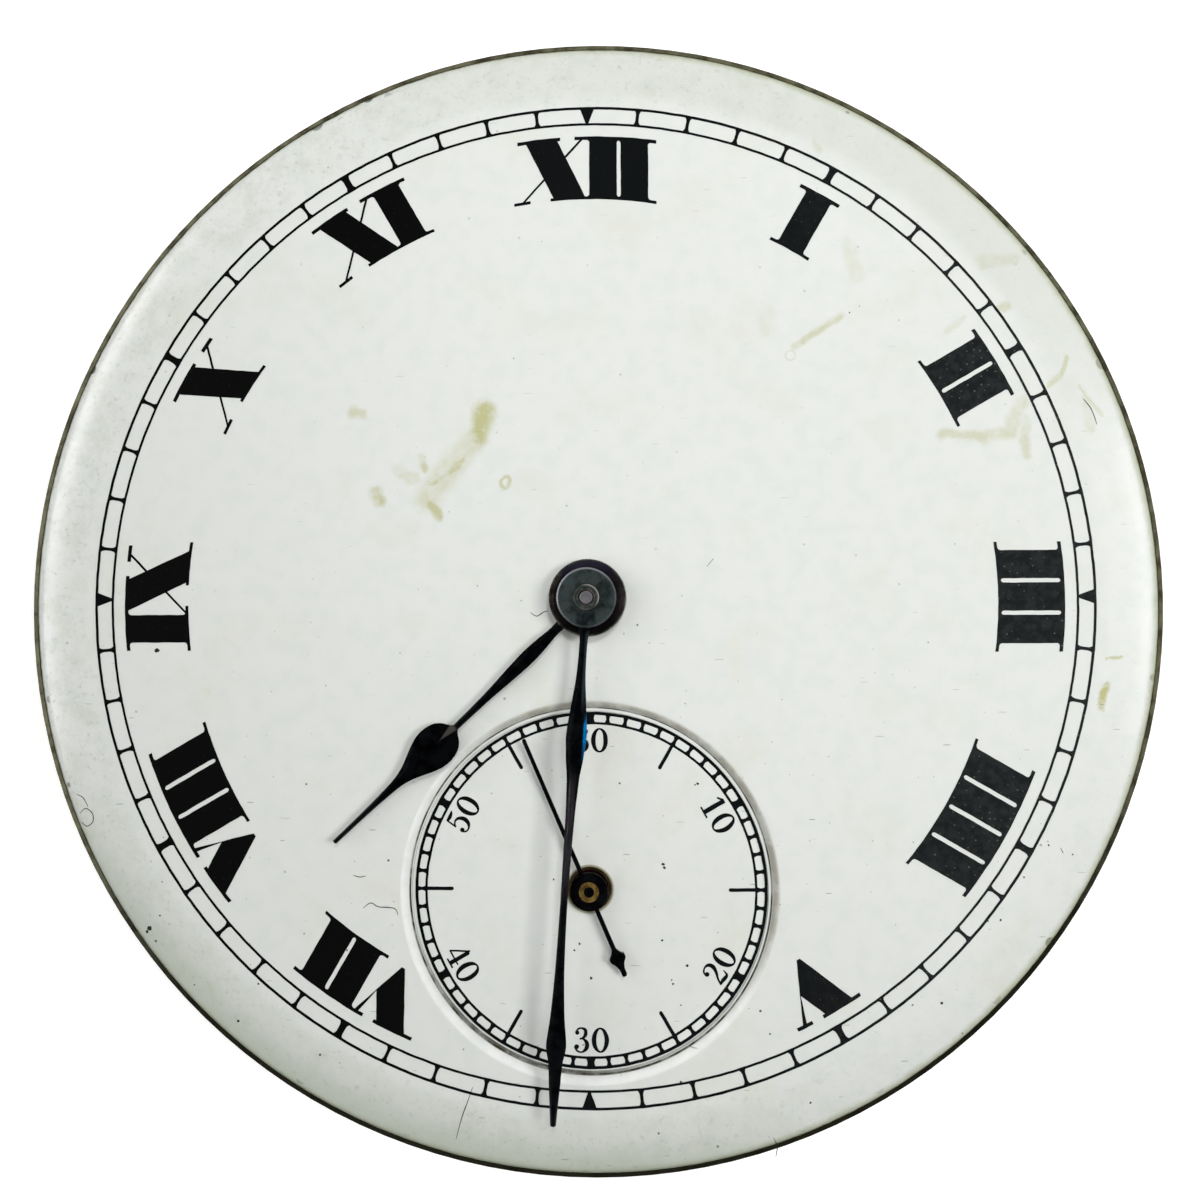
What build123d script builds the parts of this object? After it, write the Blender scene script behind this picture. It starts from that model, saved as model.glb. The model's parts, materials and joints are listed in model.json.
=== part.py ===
from build123d import *
import os
from math import cos, pi, radians, sin

# Enamelled pocket-watch dial with its hands, motion work and pillar plate.
# Millimetres. The origin is on the axis of the hands, at the face that the
# pillars stand on. +Z points out of the dial and +Y to 12 o'clock.
# Angles called clock angles run clockwise from 12 o'clock, seen from the front.

os.makedirs("parts", exist_ok=True)

# Clearances and the overrun that cuts share
cut_overrun = 0.5
seat_fit = 0.01
running_fit = 0.03
end_shake = 0.05

# Pillar plate
dial_overhang = 0.41
plate_thickness = 2.2
plate_chamfer = 0.15
rebate_depth = 0.45
motion_recess_depth = 1.4
motion_recess_gap = 0.4
seconds_recess_depth = 0.55
seconds_recess_gap = 0.3

# Pillars
pillar_height = 3.2
pillar_radius = 1.3
pillar_inset = 2.4
pillar_band_height = 0.7
pillar_waist_depth = 0.22
pillar_tenon_radius = 0.75
pillar_tenon_length = 1.4
pillar_thread_radius = 0.5
pillar_thread_depth = 1.8
pillar_clock_angles = (12, 112, 205, 300)

# Dial
dial_radius = 22.0
enamel_thickness = 0.42
copper_thickness = 0.24
counter_enamel_thickness = 0.22
margin_width = 2.3
margin_fall = 0.3
copper_rim_width = 0.15
counter_enamel_inset = 0.5
dial_hole_radius = 1.25
collar_width = 0.09
seat_inset = 0.2

# Sunk seconds dial
centre_clear_radius = 3.27
seconds_edge_gap = 0.44
seconds_lap = 0.7
opening_round = 0.36
seconds_enamel_thickness = 0.28
seconds_copper_thickness = 0.2
seconds_counter_thickness = 0.18
seconds_hole_radius = 0.74
seconds_collar_width = 0.1
solder_width = 0.3
solder_height = 0.3
seconds_rim_width = 0.12
counter_opening_gap = 0.2

# Dial feet and their screws
foot_radius = 0.42
foot_length = 2.1
foot_inset = 3.4
foot_flange_radius = 0.8
foot_flange_thickness = 0.12
foot_clear_gap = 0.15
foot_clock_angles = (38, 142, 262)
foot_screw_radius = 0.3
foot_screw_height = 0.9
foot_screw_head_radius = 0.5
foot_screw_head_length = 0.4
foot_screw_slot_width = 0.14
foot_screw_slot_depth = 0.16
foot_screw_sink = 0.1

# Centre bush and centre arbor
bush_radius = 1.6
bush_oil_sink_depth = 0.2
bush_oil_sink_width = 0.3
arbor_journal_radius = 0.8
arbor_post_radius = 0.3
arbor_tip_radius = 0.275
arbor_tip_length = 0.5
arbor_tip_drop = 0.03
arbor_collar_radius = 1.15
arbor_collar_drop = 0.1
arbor_collar_length = 0.5
arbor_pivot_radius = 0.45
arbor_pivot_length = 0.6
arbor_foot_gap = 0.5

# Motion work teeth, in shares of the module
addendum_share = 0.9
dedendum_share = 1.3
pinion_tooth_share = 1.25
wheel_tooth_share = 1.42
ogive_rise_share = 0.5
ogive_narrow_share = 0.74

# Motion work
cannon_module = 0.2
cannon_leaves = 12
minute_wheel_teeth = 36
minute_pinion_leaves = 10
hour_wheel_teeth = 40
stud_clock_angle = 40
minute_wheel_gap = 0.12
minute_wheel_thickness = 0.28
minute_pinion_hub_radius = 0.62
minute_pinion_hub_drop = 0.06
minute_pinion_leaf_length = 0.55
minute_wheel_rim_width = 0.55
minute_wheel_hub_width = 0.45
minute_wheel_arm_width = 0.55
minute_wheel_arms = 4
stud_radius = 0.35
stud_depth = 0.6
stud_stand = 1.1
cannon_leaf_length = 0.45
hour_wheel_gap = 0.1
hour_wheel_thickness = 0.28
hour_wheel_hub_radius = 1.35
hour_wheel_hub_rise = 0.08
cannon_pipe_radius = 0.62
cannon_tip_radius = 0.497
cannon_mouth_radius = 0.4
cannon_mouth_depth = 0.28
hour_pipe_radius = 1.0
hour_tip_radius = 0.92
washer_inner_gap = 0.1
washer_outer_gap = 0.21
washer_thickness = 0.06
washer_bow = 0.4

# Hands above the dial face
hour_clock_angle = 226.2
minute_clock_angle = 183.8
seconds_clock_angle = 336.44
hour_boss_lift = 0.4
hour_boss_radius = 1.5
hour_boss_thickness = 0.45
hour_blade_lift = 0.07
hand_edge_round = 0.08
hour_blade_thickness = 0.22
hour_hand_length = 13.43
hour_head_width = 1.58
hand_gap = 0.1
minute_boss_radius = 1.135
minute_boss_thickness = 0.52
minute_blade_lift = 0.07
minute_blade_thickness = 0.22
minute_tip_gap = 0.07
minute_swell_width = 0.78
cannon_proud = 0.2
seconds_hand_lift = 0.45
seconds_hand_thickness = 0.12
seconds_hub_radius = 0.73
seconds_tip_gap = 0.64
seconds_arm_width = 0.17
seconds_tail_length = 3.45
seconds_diamond_width = 0.62
blade_bevel = 0.035

# Hand outlines: how far out in shares of the hand's length, and the half
# width in shares of its widest width, from the boss to the tip. A root share
# is the half width where the blade starts inside its boss.
hour_root_share = 0.085
hour_stem_shares = ((0.24, 0.172), (0.39, 0.104), (0.53, 0.071))
hour_head_shares = (
    (0.53, 0.071),
    (0.541, 0.29),
    (0.569, 0.425),
    (0.606, 0.5),
    (0.659, 0.421),
    (0.719, 0.208),
    (0.778, 0.104),
    (0.85, 0.068),
    (1.0, 0.044),
)
minute_root_share = 0.16
minute_stem_shares = (
    (0.115, 0.159),
    (0.165, 0.215),
    (0.215, 0.345),
    (0.268, 0.5),
    (0.316, 0.385),
    (0.368, 0.256),
    (0.43, 0.186),
    (0.52, 0.154),
    (0.6, 0.144),
)
minute_point_shares = (
    (0.6, 0.144),
    (0.7, 0.185),
    (0.776, 0.274),
    (0.83, 0.39),
    (0.849, 0.429),
    (0.88, 0.356),
    (0.93, 0.244),
    (0.97, 0.16),
    (1.0, 0.122),
)
seconds_diamond_shares = ((0.66, 0.14), (0.74, 0.3), (0.788, 0.5), (0.85, 0.27), (0.94, 0.15))
seconds_tail_width_share = 0.96
seconds_arm_tip_share = 0.85

# Seconds arbor, its jewel and pipe
seconds_pipe_radius = 0.385
seconds_pivot_radius = 0.19
seconds_pipe_proud = 0.06
seconds_tip_drop = 0.15
seconds_pipe_length = 1.15
seconds_pivot_drop = 0.06
seconds_arbor_radius = 0.5
seconds_arbor_end_radius = 0.2
seconds_arbor_end_length = 0.5
seconds_arbor_foot_gap = 0.5
jewel_fit = 0.02
jewel_radius = 0.75
jewel_thickness = 0.36
jewel_oil_sink_depth = 0.12
jewel_oil_sink_radius = 0.42
setting_radius = 1.25
setting_thickness = 0.5
setting_sink = 0.1
setting_hole_radius = 0.55
setting_screw_radius = 0.2
setting_screw_head_radius = 0.38
setting_screw_head_thickness = 0.14
setting_screw_length = 0.55
setting_screw_overlap = 0.14
setting_screw_clock_angles = (90, 270)

# Heights
plate_base_z = pillar_height
plate_top_z = plate_base_z + plate_thickness
rebate_z = plate_top_z - rebate_depth
motion_floor_z = plate_top_z - motion_recess_depth
seconds_floor_z = plate_top_z - seconds_recess_depth
copper_base_z = plate_top_z + counter_enamel_thickness
copper_top_z = copper_base_z + copper_thickness
face_z = copper_top_z + enamel_thickness
seconds_face_z = copper_base_z
seconds_copper_top_z = seconds_face_z - seconds_enamel_thickness
seconds_copper_base_z = seconds_copper_top_z - seconds_copper_thickness
seconds_counter_base_z = seconds_copper_base_z - seconds_counter_thickness
foot_screw_z = plate_base_z + foot_screw_height
cannon_base_z = motion_floor_z + end_shake
minute_wheel_z = motion_floor_z + minute_wheel_gap
minute_leaf_z = minute_wheel_z + minute_wheel_thickness
hour_wheel_z = cannon_base_z + cannon_leaf_length + hour_wheel_gap
hour_wheel_top_z = hour_wheel_z + hour_wheel_thickness
hour_boss_z = face_z + hour_boss_lift
hour_boss_top_z = hour_boss_z + hour_boss_thickness
minute_boss_z = hour_boss_top_z + hand_gap
minute_boss_top_z = minute_boss_z + minute_boss_thickness
cannon_top_z = minute_boss_top_z + cannon_proud
arbor_top_z = cannon_top_z - arbor_tip_drop
seconds_hand_z = seconds_face_z + seconds_hand_lift
seconds_hand_top_z = seconds_hand_z + seconds_hand_thickness
seconds_pipe_top_z = seconds_hand_top_z + seconds_pipe_proud
setting_top_z = seconds_floor_z - setting_sink
setting_base_z = setting_top_z - setting_thickness
jewel_top_z = setting_top_z
jewel_base_z = jewel_top_z - jewel_thickness

# Radii and centre distances that follow. The seconds dial and its solder fill
# the room between the middle of the dial and the edge of its flat.
plate_radius = dial_radius - dial_overhang
dial_flat_radius = dial_radius - margin_width
seconds_room_radius = (dial_flat_radius - seconds_edge_gap - centre_clear_radius) / 2
seconds_offset = centre_clear_radius + seconds_room_radius
seconds_dial_radius = seconds_room_radius - solder_width
opening_radius = seconds_dial_radius - seconds_lap
minute_hand_length = dial_flat_radius - minute_tip_gap
seconds_arm_length = opening_radius - seconds_tip_gap
seat_radius = dial_flat_radius - seat_inset
pillar_circle = plate_radius - pillar_inset
foot_circle = dial_radius - foot_inset
motion_distance = cannon_module * (cannon_leaves + minute_wheel_teeth) / 2
hour_module = 2 * motion_distance / (minute_pinion_leaves + hour_wheel_teeth)
margin_arc_radius = (margin_width**2 + margin_fall**2) / (2 * margin_fall)


def clock_point(clock_angle, radius):
    """The point at a clock angle and a distance from the axis of the hands."""
    return (radius * sin(radians(clock_angle)), radius * cos(radians(clock_angle)))


def margin_drop(radius):
    """How far the curved margin has fallen at a radius."""
    run = radius - dial_flat_radius
    return margin_arc_radius - (margin_arc_radius**2 - run**2) ** 0.5


def polar(radius, angle):
    """A point from a radius and an angle in radians."""
    return (radius * cos(angle), radius * sin(angle))


def draw_teeth(teeth, module, tooth_share, first_tooth_angle):
    """Draw a closed tooth outline: radial flanks below the pitch circle, pointed arcs above it."""
    pitch_radius = teeth * module / 2
    root_radius = pitch_radius - dedendum_share * module
    tip_radius = pitch_radius + addendum_share * module
    ogive_radius = pitch_radius + ogive_rise_share * addendum_share * module
    half_angle = tooth_share * module / (2 * pitch_radius)
    ogive_angle = half_angle * ogive_narrow_share
    step = 2 * pi / teeth
    for tooth in range(teeth):
        middle = first_tooth_angle + tooth * step
        start = middle - half_angle
        end = middle + half_angle
        next_start = start + step
        Line(polar(root_radius, start), polar(pitch_radius, start))
        ThreePointArc(
            polar(pitch_radius, start),
            polar(ogive_radius, middle - ogive_angle),
            polar(tip_radius, middle),
        )
        ThreePointArc(
            polar(tip_radius, middle),
            polar(ogive_radius, middle + ogive_angle),
            polar(pitch_radius, end),
        )
        Line(polar(pitch_radius, end), polar(root_radius, end))
        ThreePointArc(
            polar(root_radius, end),
            polar(root_radius, (end + next_start) / 2),
            polar(root_radius, next_start),
        )


def turn(points, centre=(0, 0)):
    """Revolve a closed profile of (radius, height) points about an upright axis."""
    plane = Plane((centre[0], centre[1], 0), x_dir=(1, 0, 0), z_dir=(0, -1, 0))
    with BuildSketch(plane) as profile:
        with BuildLine():
            Polyline(*points, close=True)
        make_face()
    revolve(profile.sketch, axis=Axis((centre[0], centre[1], 0), (0, 0, 1)))


def cut_hole(radius, low, high, centres=((0, 0),)):
    """Cut upright round holes between two heights."""
    with BuildSketch(Plane.XY.offset(low)) as holes:
        with Locations(*centres):
            Circle(radius)
    extrude(holes.sketch, amount=high - low, mode=Mode.SUBTRACT)


def margin_arc(height, radius):
    """The arc that the margin follows, from the flat of the dial out to a radius."""
    start = (dial_flat_radius, height)
    end = (radius, height - margin_drop(radius))
    TangentArc(start, end, tangent=(1, 0))


def draw_blade(root, root_share, stem_shares, head_shares, length, width):
    """Draw a hand's blade along +Y from its root in the boss, by two tables of shares."""
    stem = [(across * width, along * length) for along, across in stem_shares]
    head = [(across * width, along * length) for along, across in head_shares]
    corner = (root_share * width, root)
    with BuildLine() as outline:
        Line((0, root), corner)
        Spline(corner, *stem)
        Spline(*head)
        Line(head[-1], (0, head[-1][1]))
        mirror(about=Plane.YZ)
    make_face(outline.edges())


def edge_plane_at(clock_angle):
    """The upright plane at the plate's edge that faces inward, at the foot screws' height."""
    point = clock_point(clock_angle, plate_radius)
    return Plane((point[0], point[1], foot_screw_z), z_dir=(-point[0], -point[1], 0))


def stud_plane(height):
    """A level plane centred on the minute wheel's stud."""
    return Plane((stud_point[0], stud_point[1], height))


def seconds_plane(height):
    """A level plane centred on the seconds axis."""
    return Plane((0, -seconds_offset, height))


def hand_plane(height, clock_angle, centre=(0, 0)):
    """The plane of a hand, its Y axis along the hand."""
    level = Plane((centre[0], centre[1], height))
    return level.rotated((0, 0, -clock_angle))


stud_point = clock_point(stud_clock_angle, motion_distance)
stud_angle = radians(90 - stud_clock_angle)
seconds_point = (0, -seconds_offset)
foot_points = [clock_point(angle, foot_circle) for angle in foot_clock_angles]
pillar_points = [clock_point(angle, pillar_circle) for angle in pillar_clock_angles]

# Pillar plate: a disc with a rebate for the curved margin of the dial, a
# recess for the motion work and one for the back of the seconds dial
hour_tip_circle = hour_module * (hour_wheel_teeth / 2 + addendum_share)
minute_tip_circle = cannon_module * (minute_wheel_teeth / 2 + addendum_share)
seconds_recess_radius = seconds_dial_radius + solder_width + seconds_recess_gap
screw_bore_length = plate_radius - foot_circle + cut_overrun
screw_head_depth = foot_screw_head_length + foot_screw_sink
setting_screw_circle = setting_radius + setting_screw_head_radius - setting_screw_overlap
setting_screw_points = [clock_point(angle, setting_screw_circle) for angle in setting_screw_clock_angles]

with BuildPart() as pillar_plate:
    with BuildSketch(Plane.XY.offset(plate_base_z)):
        Circle(plate_radius)
    extrude(amount=plate_thickness)
    with BuildSketch(Plane.XY.offset(rebate_z)):
        Circle(plate_radius + cut_overrun)
        Circle(seat_radius, mode=Mode.SUBTRACT)
    extrude(amount=rebate_depth + cut_overrun, mode=Mode.SUBTRACT)
    rims = pillar_plate.edges().filter_by(GeomType.CIRCLE)
    rims = rims.filter_by(lambda edge: edge.radius > plate_radius - seat_fit)
    chamfer(rims, length=plate_chamfer)
    with BuildSketch(Plane.XY.offset(motion_floor_z)):
        Circle(hour_tip_circle + motion_recess_gap)
        with Locations(stud_point):
            Circle(minute_tip_circle + motion_recess_gap)
    extrude(amount=motion_recess_depth + cut_overrun, mode=Mode.SUBTRACT)
    with BuildSketch(Plane.XY.offset(seconds_floor_z)):
        with Locations(seconds_point):
            Circle(seconds_recess_radius)
    extrude(amount=seconds_recess_depth + cut_overrun, mode=Mode.SUBTRACT)
    with BuildSketch(Plane.XY.offset(plate_base_z - cut_overrun)):
        Circle(bush_radius + seat_fit)
        with Locations(seconds_point):
            Circle(setting_hole_radius)
        with Locations(*foot_points):
            Circle(foot_radius + running_fit)
    extrude(amount=plate_thickness + 2 * cut_overrun, mode=Mode.SUBTRACT)
    with BuildSketch(Plane.XY.offset(setting_base_z)):
        with Locations(seconds_point):
            Circle(setting_radius + seat_fit)
    extrude(amount=setting_thickness + setting_sink + cut_overrun, mode=Mode.SUBTRACT)
    with BuildSketch(Plane.XY.offset(setting_top_z)):
        with Locations(seconds_point):
            with Locations(*setting_screw_points):
                Circle(setting_screw_head_radius + seat_fit)
    extrude(amount=setting_sink + cut_overrun, mode=Mode.SUBTRACT)
    with BuildSketch(Plane.XY.offset(setting_top_z - setting_screw_length)):
        with Locations(seconds_point):
            with Locations(*setting_screw_points):
                Circle(setting_screw_radius + seat_fit)
    extrude(amount=setting_screw_length + cut_overrun, mode=Mode.SUBTRACT)
    with BuildSketch(Plane.XY.offset(motion_floor_z - stud_depth)):
        with Locations(stud_point):
            Circle(stud_radius + seat_fit)
    extrude(amount=stud_depth + cut_overrun, mode=Mode.SUBTRACT)
    with BuildSketch(Plane.XY.offset(plate_base_z)):
        with Locations(*pillar_points):
            Circle(pillar_tenon_radius + seat_fit)
    extrude(amount=pillar_tenon_length + seat_fit, mode=Mode.SUBTRACT)
    for angle in foot_clock_angles:
        edge_plane = edge_plane_at(angle)
        with BuildSketch(edge_plane.offset(-cut_overrun)):
            Circle(foot_screw_radius + seat_fit)
        extrude(amount=screw_bore_length, mode=Mode.SUBTRACT)
        with BuildSketch(edge_plane.offset(-cut_overrun)):
            Circle(foot_screw_head_radius + seat_fit)
        extrude(amount=screw_head_depth + cut_overrun, mode=Mode.SUBTRACT)
pillar_plate.part.label = "pillar_plate"
export_step(pillar_plate.part, "parts/pillar_plate.step")

# Pillars: turned posts with a waist, a tenon in the plate and a threaded foot
waist_radius = pillar_radius - pillar_waist_depth
upper_band_z = pillar_height - pillar_band_height
pillar_tenon_top_z = pillar_height + pillar_tenon_length
pillar_profile = (
    (waist_radius, upper_band_z),
    (pillar_radius, upper_band_z),
    (pillar_radius, pillar_height),
    (pillar_tenon_radius, pillar_height),
    (pillar_tenon_radius, pillar_tenon_top_z),
    (0, pillar_tenon_top_z),
    (0, pillar_thread_depth),
    (pillar_thread_radius, pillar_thread_depth),
    (pillar_thread_radius, 0),
    (pillar_radius, 0),
    (pillar_radius, pillar_band_height),
    (waist_radius, pillar_band_height),
)
with BuildPart() as pillars:
    for point in pillar_points:
        turn(pillar_profile, point)
pillars.part.label = "pillars"
export_step(pillars.part, "parts/pillars.step")

# Dial copper: a thin dished disc with a turned-up rim and a collar round the
# centre hole, cut away for the seconds opening
rim_inner_radius = dial_radius - copper_rim_width
collar_radius = dial_hole_radius + collar_width
rim_top_z = face_z - margin_drop(rim_inner_radius)
rim_floor_z = copper_top_z - margin_drop(rim_inner_radius)
with BuildPart() as dial_copper:
    with BuildSketch(Plane.XZ):
        with BuildLine():
            Line((dial_hole_radius, copper_base_z), (dial_flat_radius, copper_base_z))
            margin_arc(copper_base_z, dial_radius)
            Polyline(
                (dial_radius, copper_base_z - margin_fall),
                (dial_radius, rim_top_z),
                (rim_inner_radius, rim_top_z),
                (rim_inner_radius, rim_floor_z),
            )
            margin_arc(copper_top_z, rim_inner_radius)
            Polyline(
                (dial_flat_radius, copper_top_z),
                (collar_radius, copper_top_z),
                (collar_radius, face_z),
                (dial_hole_radius, face_z),
                (dial_hole_radius, copper_base_z),
            )
        make_face()
    revolve(axis=Axis.Z)
    cut_hole(opening_radius, copper_base_z - cut_overrun, face_z, [seconds_point])
dial_copper.part.label = "dial_copper"
export_step(dial_copper.part, "parts/dial_copper.step")

# Dial enamel: the white glass of the front, with a rounded shoulder round the
# seconds opening
with BuildPart() as dial_enamel:
    with BuildSketch(Plane.XZ):
        with BuildLine():
            Line((collar_radius, copper_top_z), (dial_flat_radius, copper_top_z))
            margin_arc(copper_top_z, rim_inner_radius)
            Line((rim_inner_radius, rim_floor_z), (rim_inner_radius, rim_top_z))
            margin_arc(face_z, rim_inner_radius)
            Polyline(
                (dial_flat_radius, face_z),
                (collar_radius, face_z),
                (collar_radius, copper_top_z),
            )
        make_face()
    revolve(axis=Axis.Z)
    cut_hole(opening_radius, copper_top_z - cut_overrun, face_z + cut_overrun, [seconds_point])
    opening_edges = dial_enamel.edges().filter_by(GeomType.CIRCLE)
    opening_edges = opening_edges.filter_by(lambda edge: abs(edge.radius - opening_radius) < seat_fit)
    fillet(opening_edges.sort_by(Axis.Z)[-1], radius=opening_round)
dial_enamel.part.label = "dial_enamel"
export_step(dial_enamel.part, "parts/dial_enamel.step")

# Counter enamel on the back of the dial, clear of the feet and of the solder
counter_radius = dial_radius - counter_enamel_inset
counter_fall = margin_drop(counter_radius)
counter_opening_radius = seconds_dial_radius + solder_width + counter_opening_gap
foot_clear_radius = foot_flange_radius + foot_clear_gap
counter_low = plate_top_z - cut_overrun
counter_high = copper_base_z + cut_overrun
with BuildPart() as dial_counter_enamel:
    with BuildSketch(Plane.XZ):
        with BuildLine():
            Line((collar_radius, plate_top_z), (dial_flat_radius, plate_top_z))
            margin_arc(plate_top_z, counter_radius)
            Line(
                (counter_radius, plate_top_z - counter_fall),
                (counter_radius, copper_base_z - counter_fall),
            )
            margin_arc(copper_base_z, counter_radius)
            Polyline(
                (dial_flat_radius, copper_base_z),
                (collar_radius, copper_base_z),
                (collar_radius, plate_top_z),
            )
        make_face()
    revolve(axis=Axis.Z)
    cut_hole(counter_opening_radius, counter_low, counter_high, [seconds_point])
    cut_hole(foot_clear_radius, counter_low, counter_high, foot_points)
dial_counter_enamel.part.label = "dial_counter_enamel"
export_step(dial_counter_enamel.part, "parts/dial_counter_enamel.step")

# Seconds dial: its own copper, enamel and counter enamel, held under the
# opening by a ring of solder
seconds_collar_radius = seconds_hole_radius + seconds_collar_width
seconds_enamel_radius = seconds_dial_radius - seconds_rim_width
with BuildPart() as seconds_dial_copper:
    turn(
        (
            (seconds_hole_radius, seconds_copper_base_z),
            (seconds_dial_radius, seconds_copper_base_z),
            (seconds_dial_radius, seconds_face_z),
            (seconds_enamel_radius, seconds_face_z),
            (seconds_enamel_radius, seconds_copper_top_z),
            (seconds_collar_radius, seconds_copper_top_z),
            (seconds_collar_radius, seconds_face_z),
            (seconds_hole_radius, seconds_face_z),
        ),
        seconds_point,
    )
seconds_dial_copper.part.label = "seconds_dial_copper"
export_step(seconds_dial_copper.part, "parts/seconds_dial_copper.step")

with BuildPart() as seconds_dial_enamel:
    turn(
        (
            (seconds_collar_radius, seconds_copper_top_z),
            (seconds_enamel_radius, seconds_copper_top_z),
            (seconds_enamel_radius, seconds_face_z),
            (seconds_collar_radius, seconds_face_z),
        ),
        seconds_point,
    )
seconds_dial_enamel.part.label = "seconds_dial_enamel"
export_step(seconds_dial_enamel.part, "parts/seconds_dial_enamel.step")

with BuildPart() as seconds_dial_counter_enamel:
    turn(
        (
            (seconds_collar_radius, seconds_counter_base_z),
            (seconds_enamel_radius, seconds_counter_base_z),
            (seconds_enamel_radius, seconds_copper_base_z),
            (seconds_collar_radius, seconds_copper_base_z),
        ),
        seconds_point,
    )
seconds_dial_counter_enamel.part.label = "seconds_dial_counter_enamel"
export_step(seconds_dial_counter_enamel.part, "parts/seconds_dial_counter_enamel.step")

with BuildPart() as seconds_solder_ring:
    turn(
        (
            (seconds_dial_radius, copper_base_z),
            (seconds_dial_radius + solder_width, copper_base_z),
            (seconds_dial_radius, copper_base_z - solder_height),
        ),
        seconds_point,
    )
seconds_solder_ring.part.label = "seconds_solder_ring"
export_step(seconds_solder_ring.part, "parts/seconds_solder_ring.step")

# Dial feet: flanged copper wires on the back of the dial
foot_flange_base_z = copper_base_z - foot_flange_thickness
foot_profile = (
    (0, copper_base_z),
    (foot_flange_radius, copper_base_z),
    (foot_flange_radius, foot_flange_base_z),
    (foot_radius, foot_flange_base_z),
    (foot_radius, copper_base_z - foot_length),
    (0, copper_base_z - foot_length),
)
with BuildPart() as dial_feet:
    for point in foot_points:
        turn(foot_profile, point)
dial_feet.part.label = "dial_feet"
export_step(dial_feet.part, "parts/dial_feet.step")

# Dial foot screws: slotted, from the edge of the plate, each against a foot
foot_screw_length = plate_radius - foot_circle - foot_radius - running_fit
with BuildPart() as dial_foot_screws:
    for angle in foot_clock_angles:
        edge_plane = edge_plane_at(angle)
        with BuildSketch(edge_plane.offset(foot_screw_sink)):
            Circle(foot_screw_head_radius)
        extrude(amount=foot_screw_head_length)
        with BuildSketch(edge_plane.offset(screw_head_depth)):
            Circle(foot_screw_radius)
        extrude(amount=foot_screw_length - screw_head_depth)
        with BuildSketch(edge_plane):
            Rectangle(foot_screw_slot_width, 2 * foot_screw_head_radius + cut_overrun)
        extrude(amount=foot_screw_sink + foot_screw_slot_depth, mode=Mode.SUBTRACT)
dial_foot_screws.part.label = "dial_foot_screws"
export_step(dial_foot_screws.part, "parts/dial_foot_screws.step")

# Centre bush in the plate, and the centre arbor that turns in it
bush_bore_radius = arbor_journal_radius + running_fit
with BuildPart() as centre_bush:
    turn(
        (
            (bush_bore_radius, motion_floor_z),
            (bush_radius, motion_floor_z),
            (bush_radius, plate_base_z),
            (bush_bore_radius + bush_oil_sink_width, plate_base_z),
            (bush_bore_radius, plate_base_z + bush_oil_sink_depth),
        )
    )
centre_bush.part.label = "centre_bush"
export_step(centre_bush.part, "parts/centre_bush.step")

arbor_collar_top_z = plate_base_z - arbor_collar_drop
arbor_collar_base_z = arbor_collar_top_z - arbor_collar_length
arbor_pivot_top_z = arbor_foot_gap + arbor_pivot_length
arbor_tip_z = arbor_top_z - arbor_tip_length
with BuildPart() as centre_arbor:
    turn(
        (
            (0, arbor_foot_gap),
            (arbor_pivot_radius, arbor_foot_gap),
            (arbor_pivot_radius, arbor_pivot_top_z),
            (arbor_journal_radius, arbor_pivot_top_z),
            (arbor_journal_radius, arbor_collar_base_z),
            (arbor_collar_radius, arbor_collar_base_z),
            (arbor_collar_radius, arbor_collar_top_z),
            (arbor_journal_radius, arbor_collar_top_z),
            (arbor_journal_radius, cannon_base_z),
            (arbor_post_radius, cannon_base_z),
            (arbor_post_radius, arbor_tip_z),
            (arbor_tip_radius, arbor_tip_z),
            (arbor_tip_radius, arbor_top_z),
            (0, arbor_top_z),
        )
    )
    fillet(centre_arbor.edges().group_by(Axis.Z)[-1], radius=arbor_tip_radius / 3)
centre_arbor.part.label = "centre_arbor"
export_step(centre_arbor.part, "parts/centre_arbor.step")

# Cannon pinion: leaves at its foot, a pipe that runs in the hour pipe, and a
# thinner end with a mouth where the minute hand sits
with BuildPart() as cannon_pinion:
    with BuildSketch(Plane.XY.offset(cannon_base_z)):
        with BuildLine():
            draw_teeth(cannon_leaves, cannon_module, pinion_tooth_share, stud_angle)
        make_face()
    extrude(amount=cannon_leaf_length)
    with BuildSketch(Plane.XY.offset(cannon_base_z)):
        Circle(cannon_pipe_radius)
    extrude(amount=minute_boss_z - cannon_base_z)
    with BuildSketch(Plane.XY.offset(minute_boss_z)):
        Circle(cannon_tip_radius)
    extrude(amount=cannon_top_z - minute_boss_z)
    cut_hole(arbor_post_radius + seat_fit, cannon_base_z, cannon_top_z)
    cut_hole(cannon_mouth_radius, cannon_top_z - cannon_mouth_depth, cannon_top_z + cut_overrun)
cannon_pinion.part.label = "cannon_pinion"
export_step(cannon_pinion.part, "parts/cannon_pinion.step")

# Hour wheel with its pipe, and the domed washer that keeps it down
hour_bore_radius = cannon_pipe_radius + running_fit
hour_first_tooth = stud_angle + pi / hour_wheel_teeth
with BuildPart() as hour_wheel:
    with BuildSketch(Plane.XY.offset(hour_wheel_z)):
        with BuildLine():
            draw_teeth(hour_wheel_teeth, hour_module, wheel_tooth_share, hour_first_tooth)
        make_face()
    extrude(amount=hour_wheel_thickness)
    with BuildSketch(Plane.XY.offset(hour_wheel_top_z)):
        Circle(hour_wheel_hub_radius)
    extrude(amount=hour_wheel_hub_rise)
    with BuildSketch(Plane.XY.offset(hour_wheel_top_z)):
        Circle(hour_pipe_radius)
    extrude(amount=hour_boss_z - hour_wheel_top_z)
    with BuildSketch(Plane.XY.offset(hour_boss_z)):
        Circle(hour_tip_radius)
    extrude(amount=hour_boss_thickness)
    cut_hole(hour_bore_radius, hour_wheel_z - cut_overrun, hour_boss_top_z + cut_overrun)
hour_wheel.part.label = "hour_wheel"
export_step(hour_wheel.part, "parts/hour_wheel.step")

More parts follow.
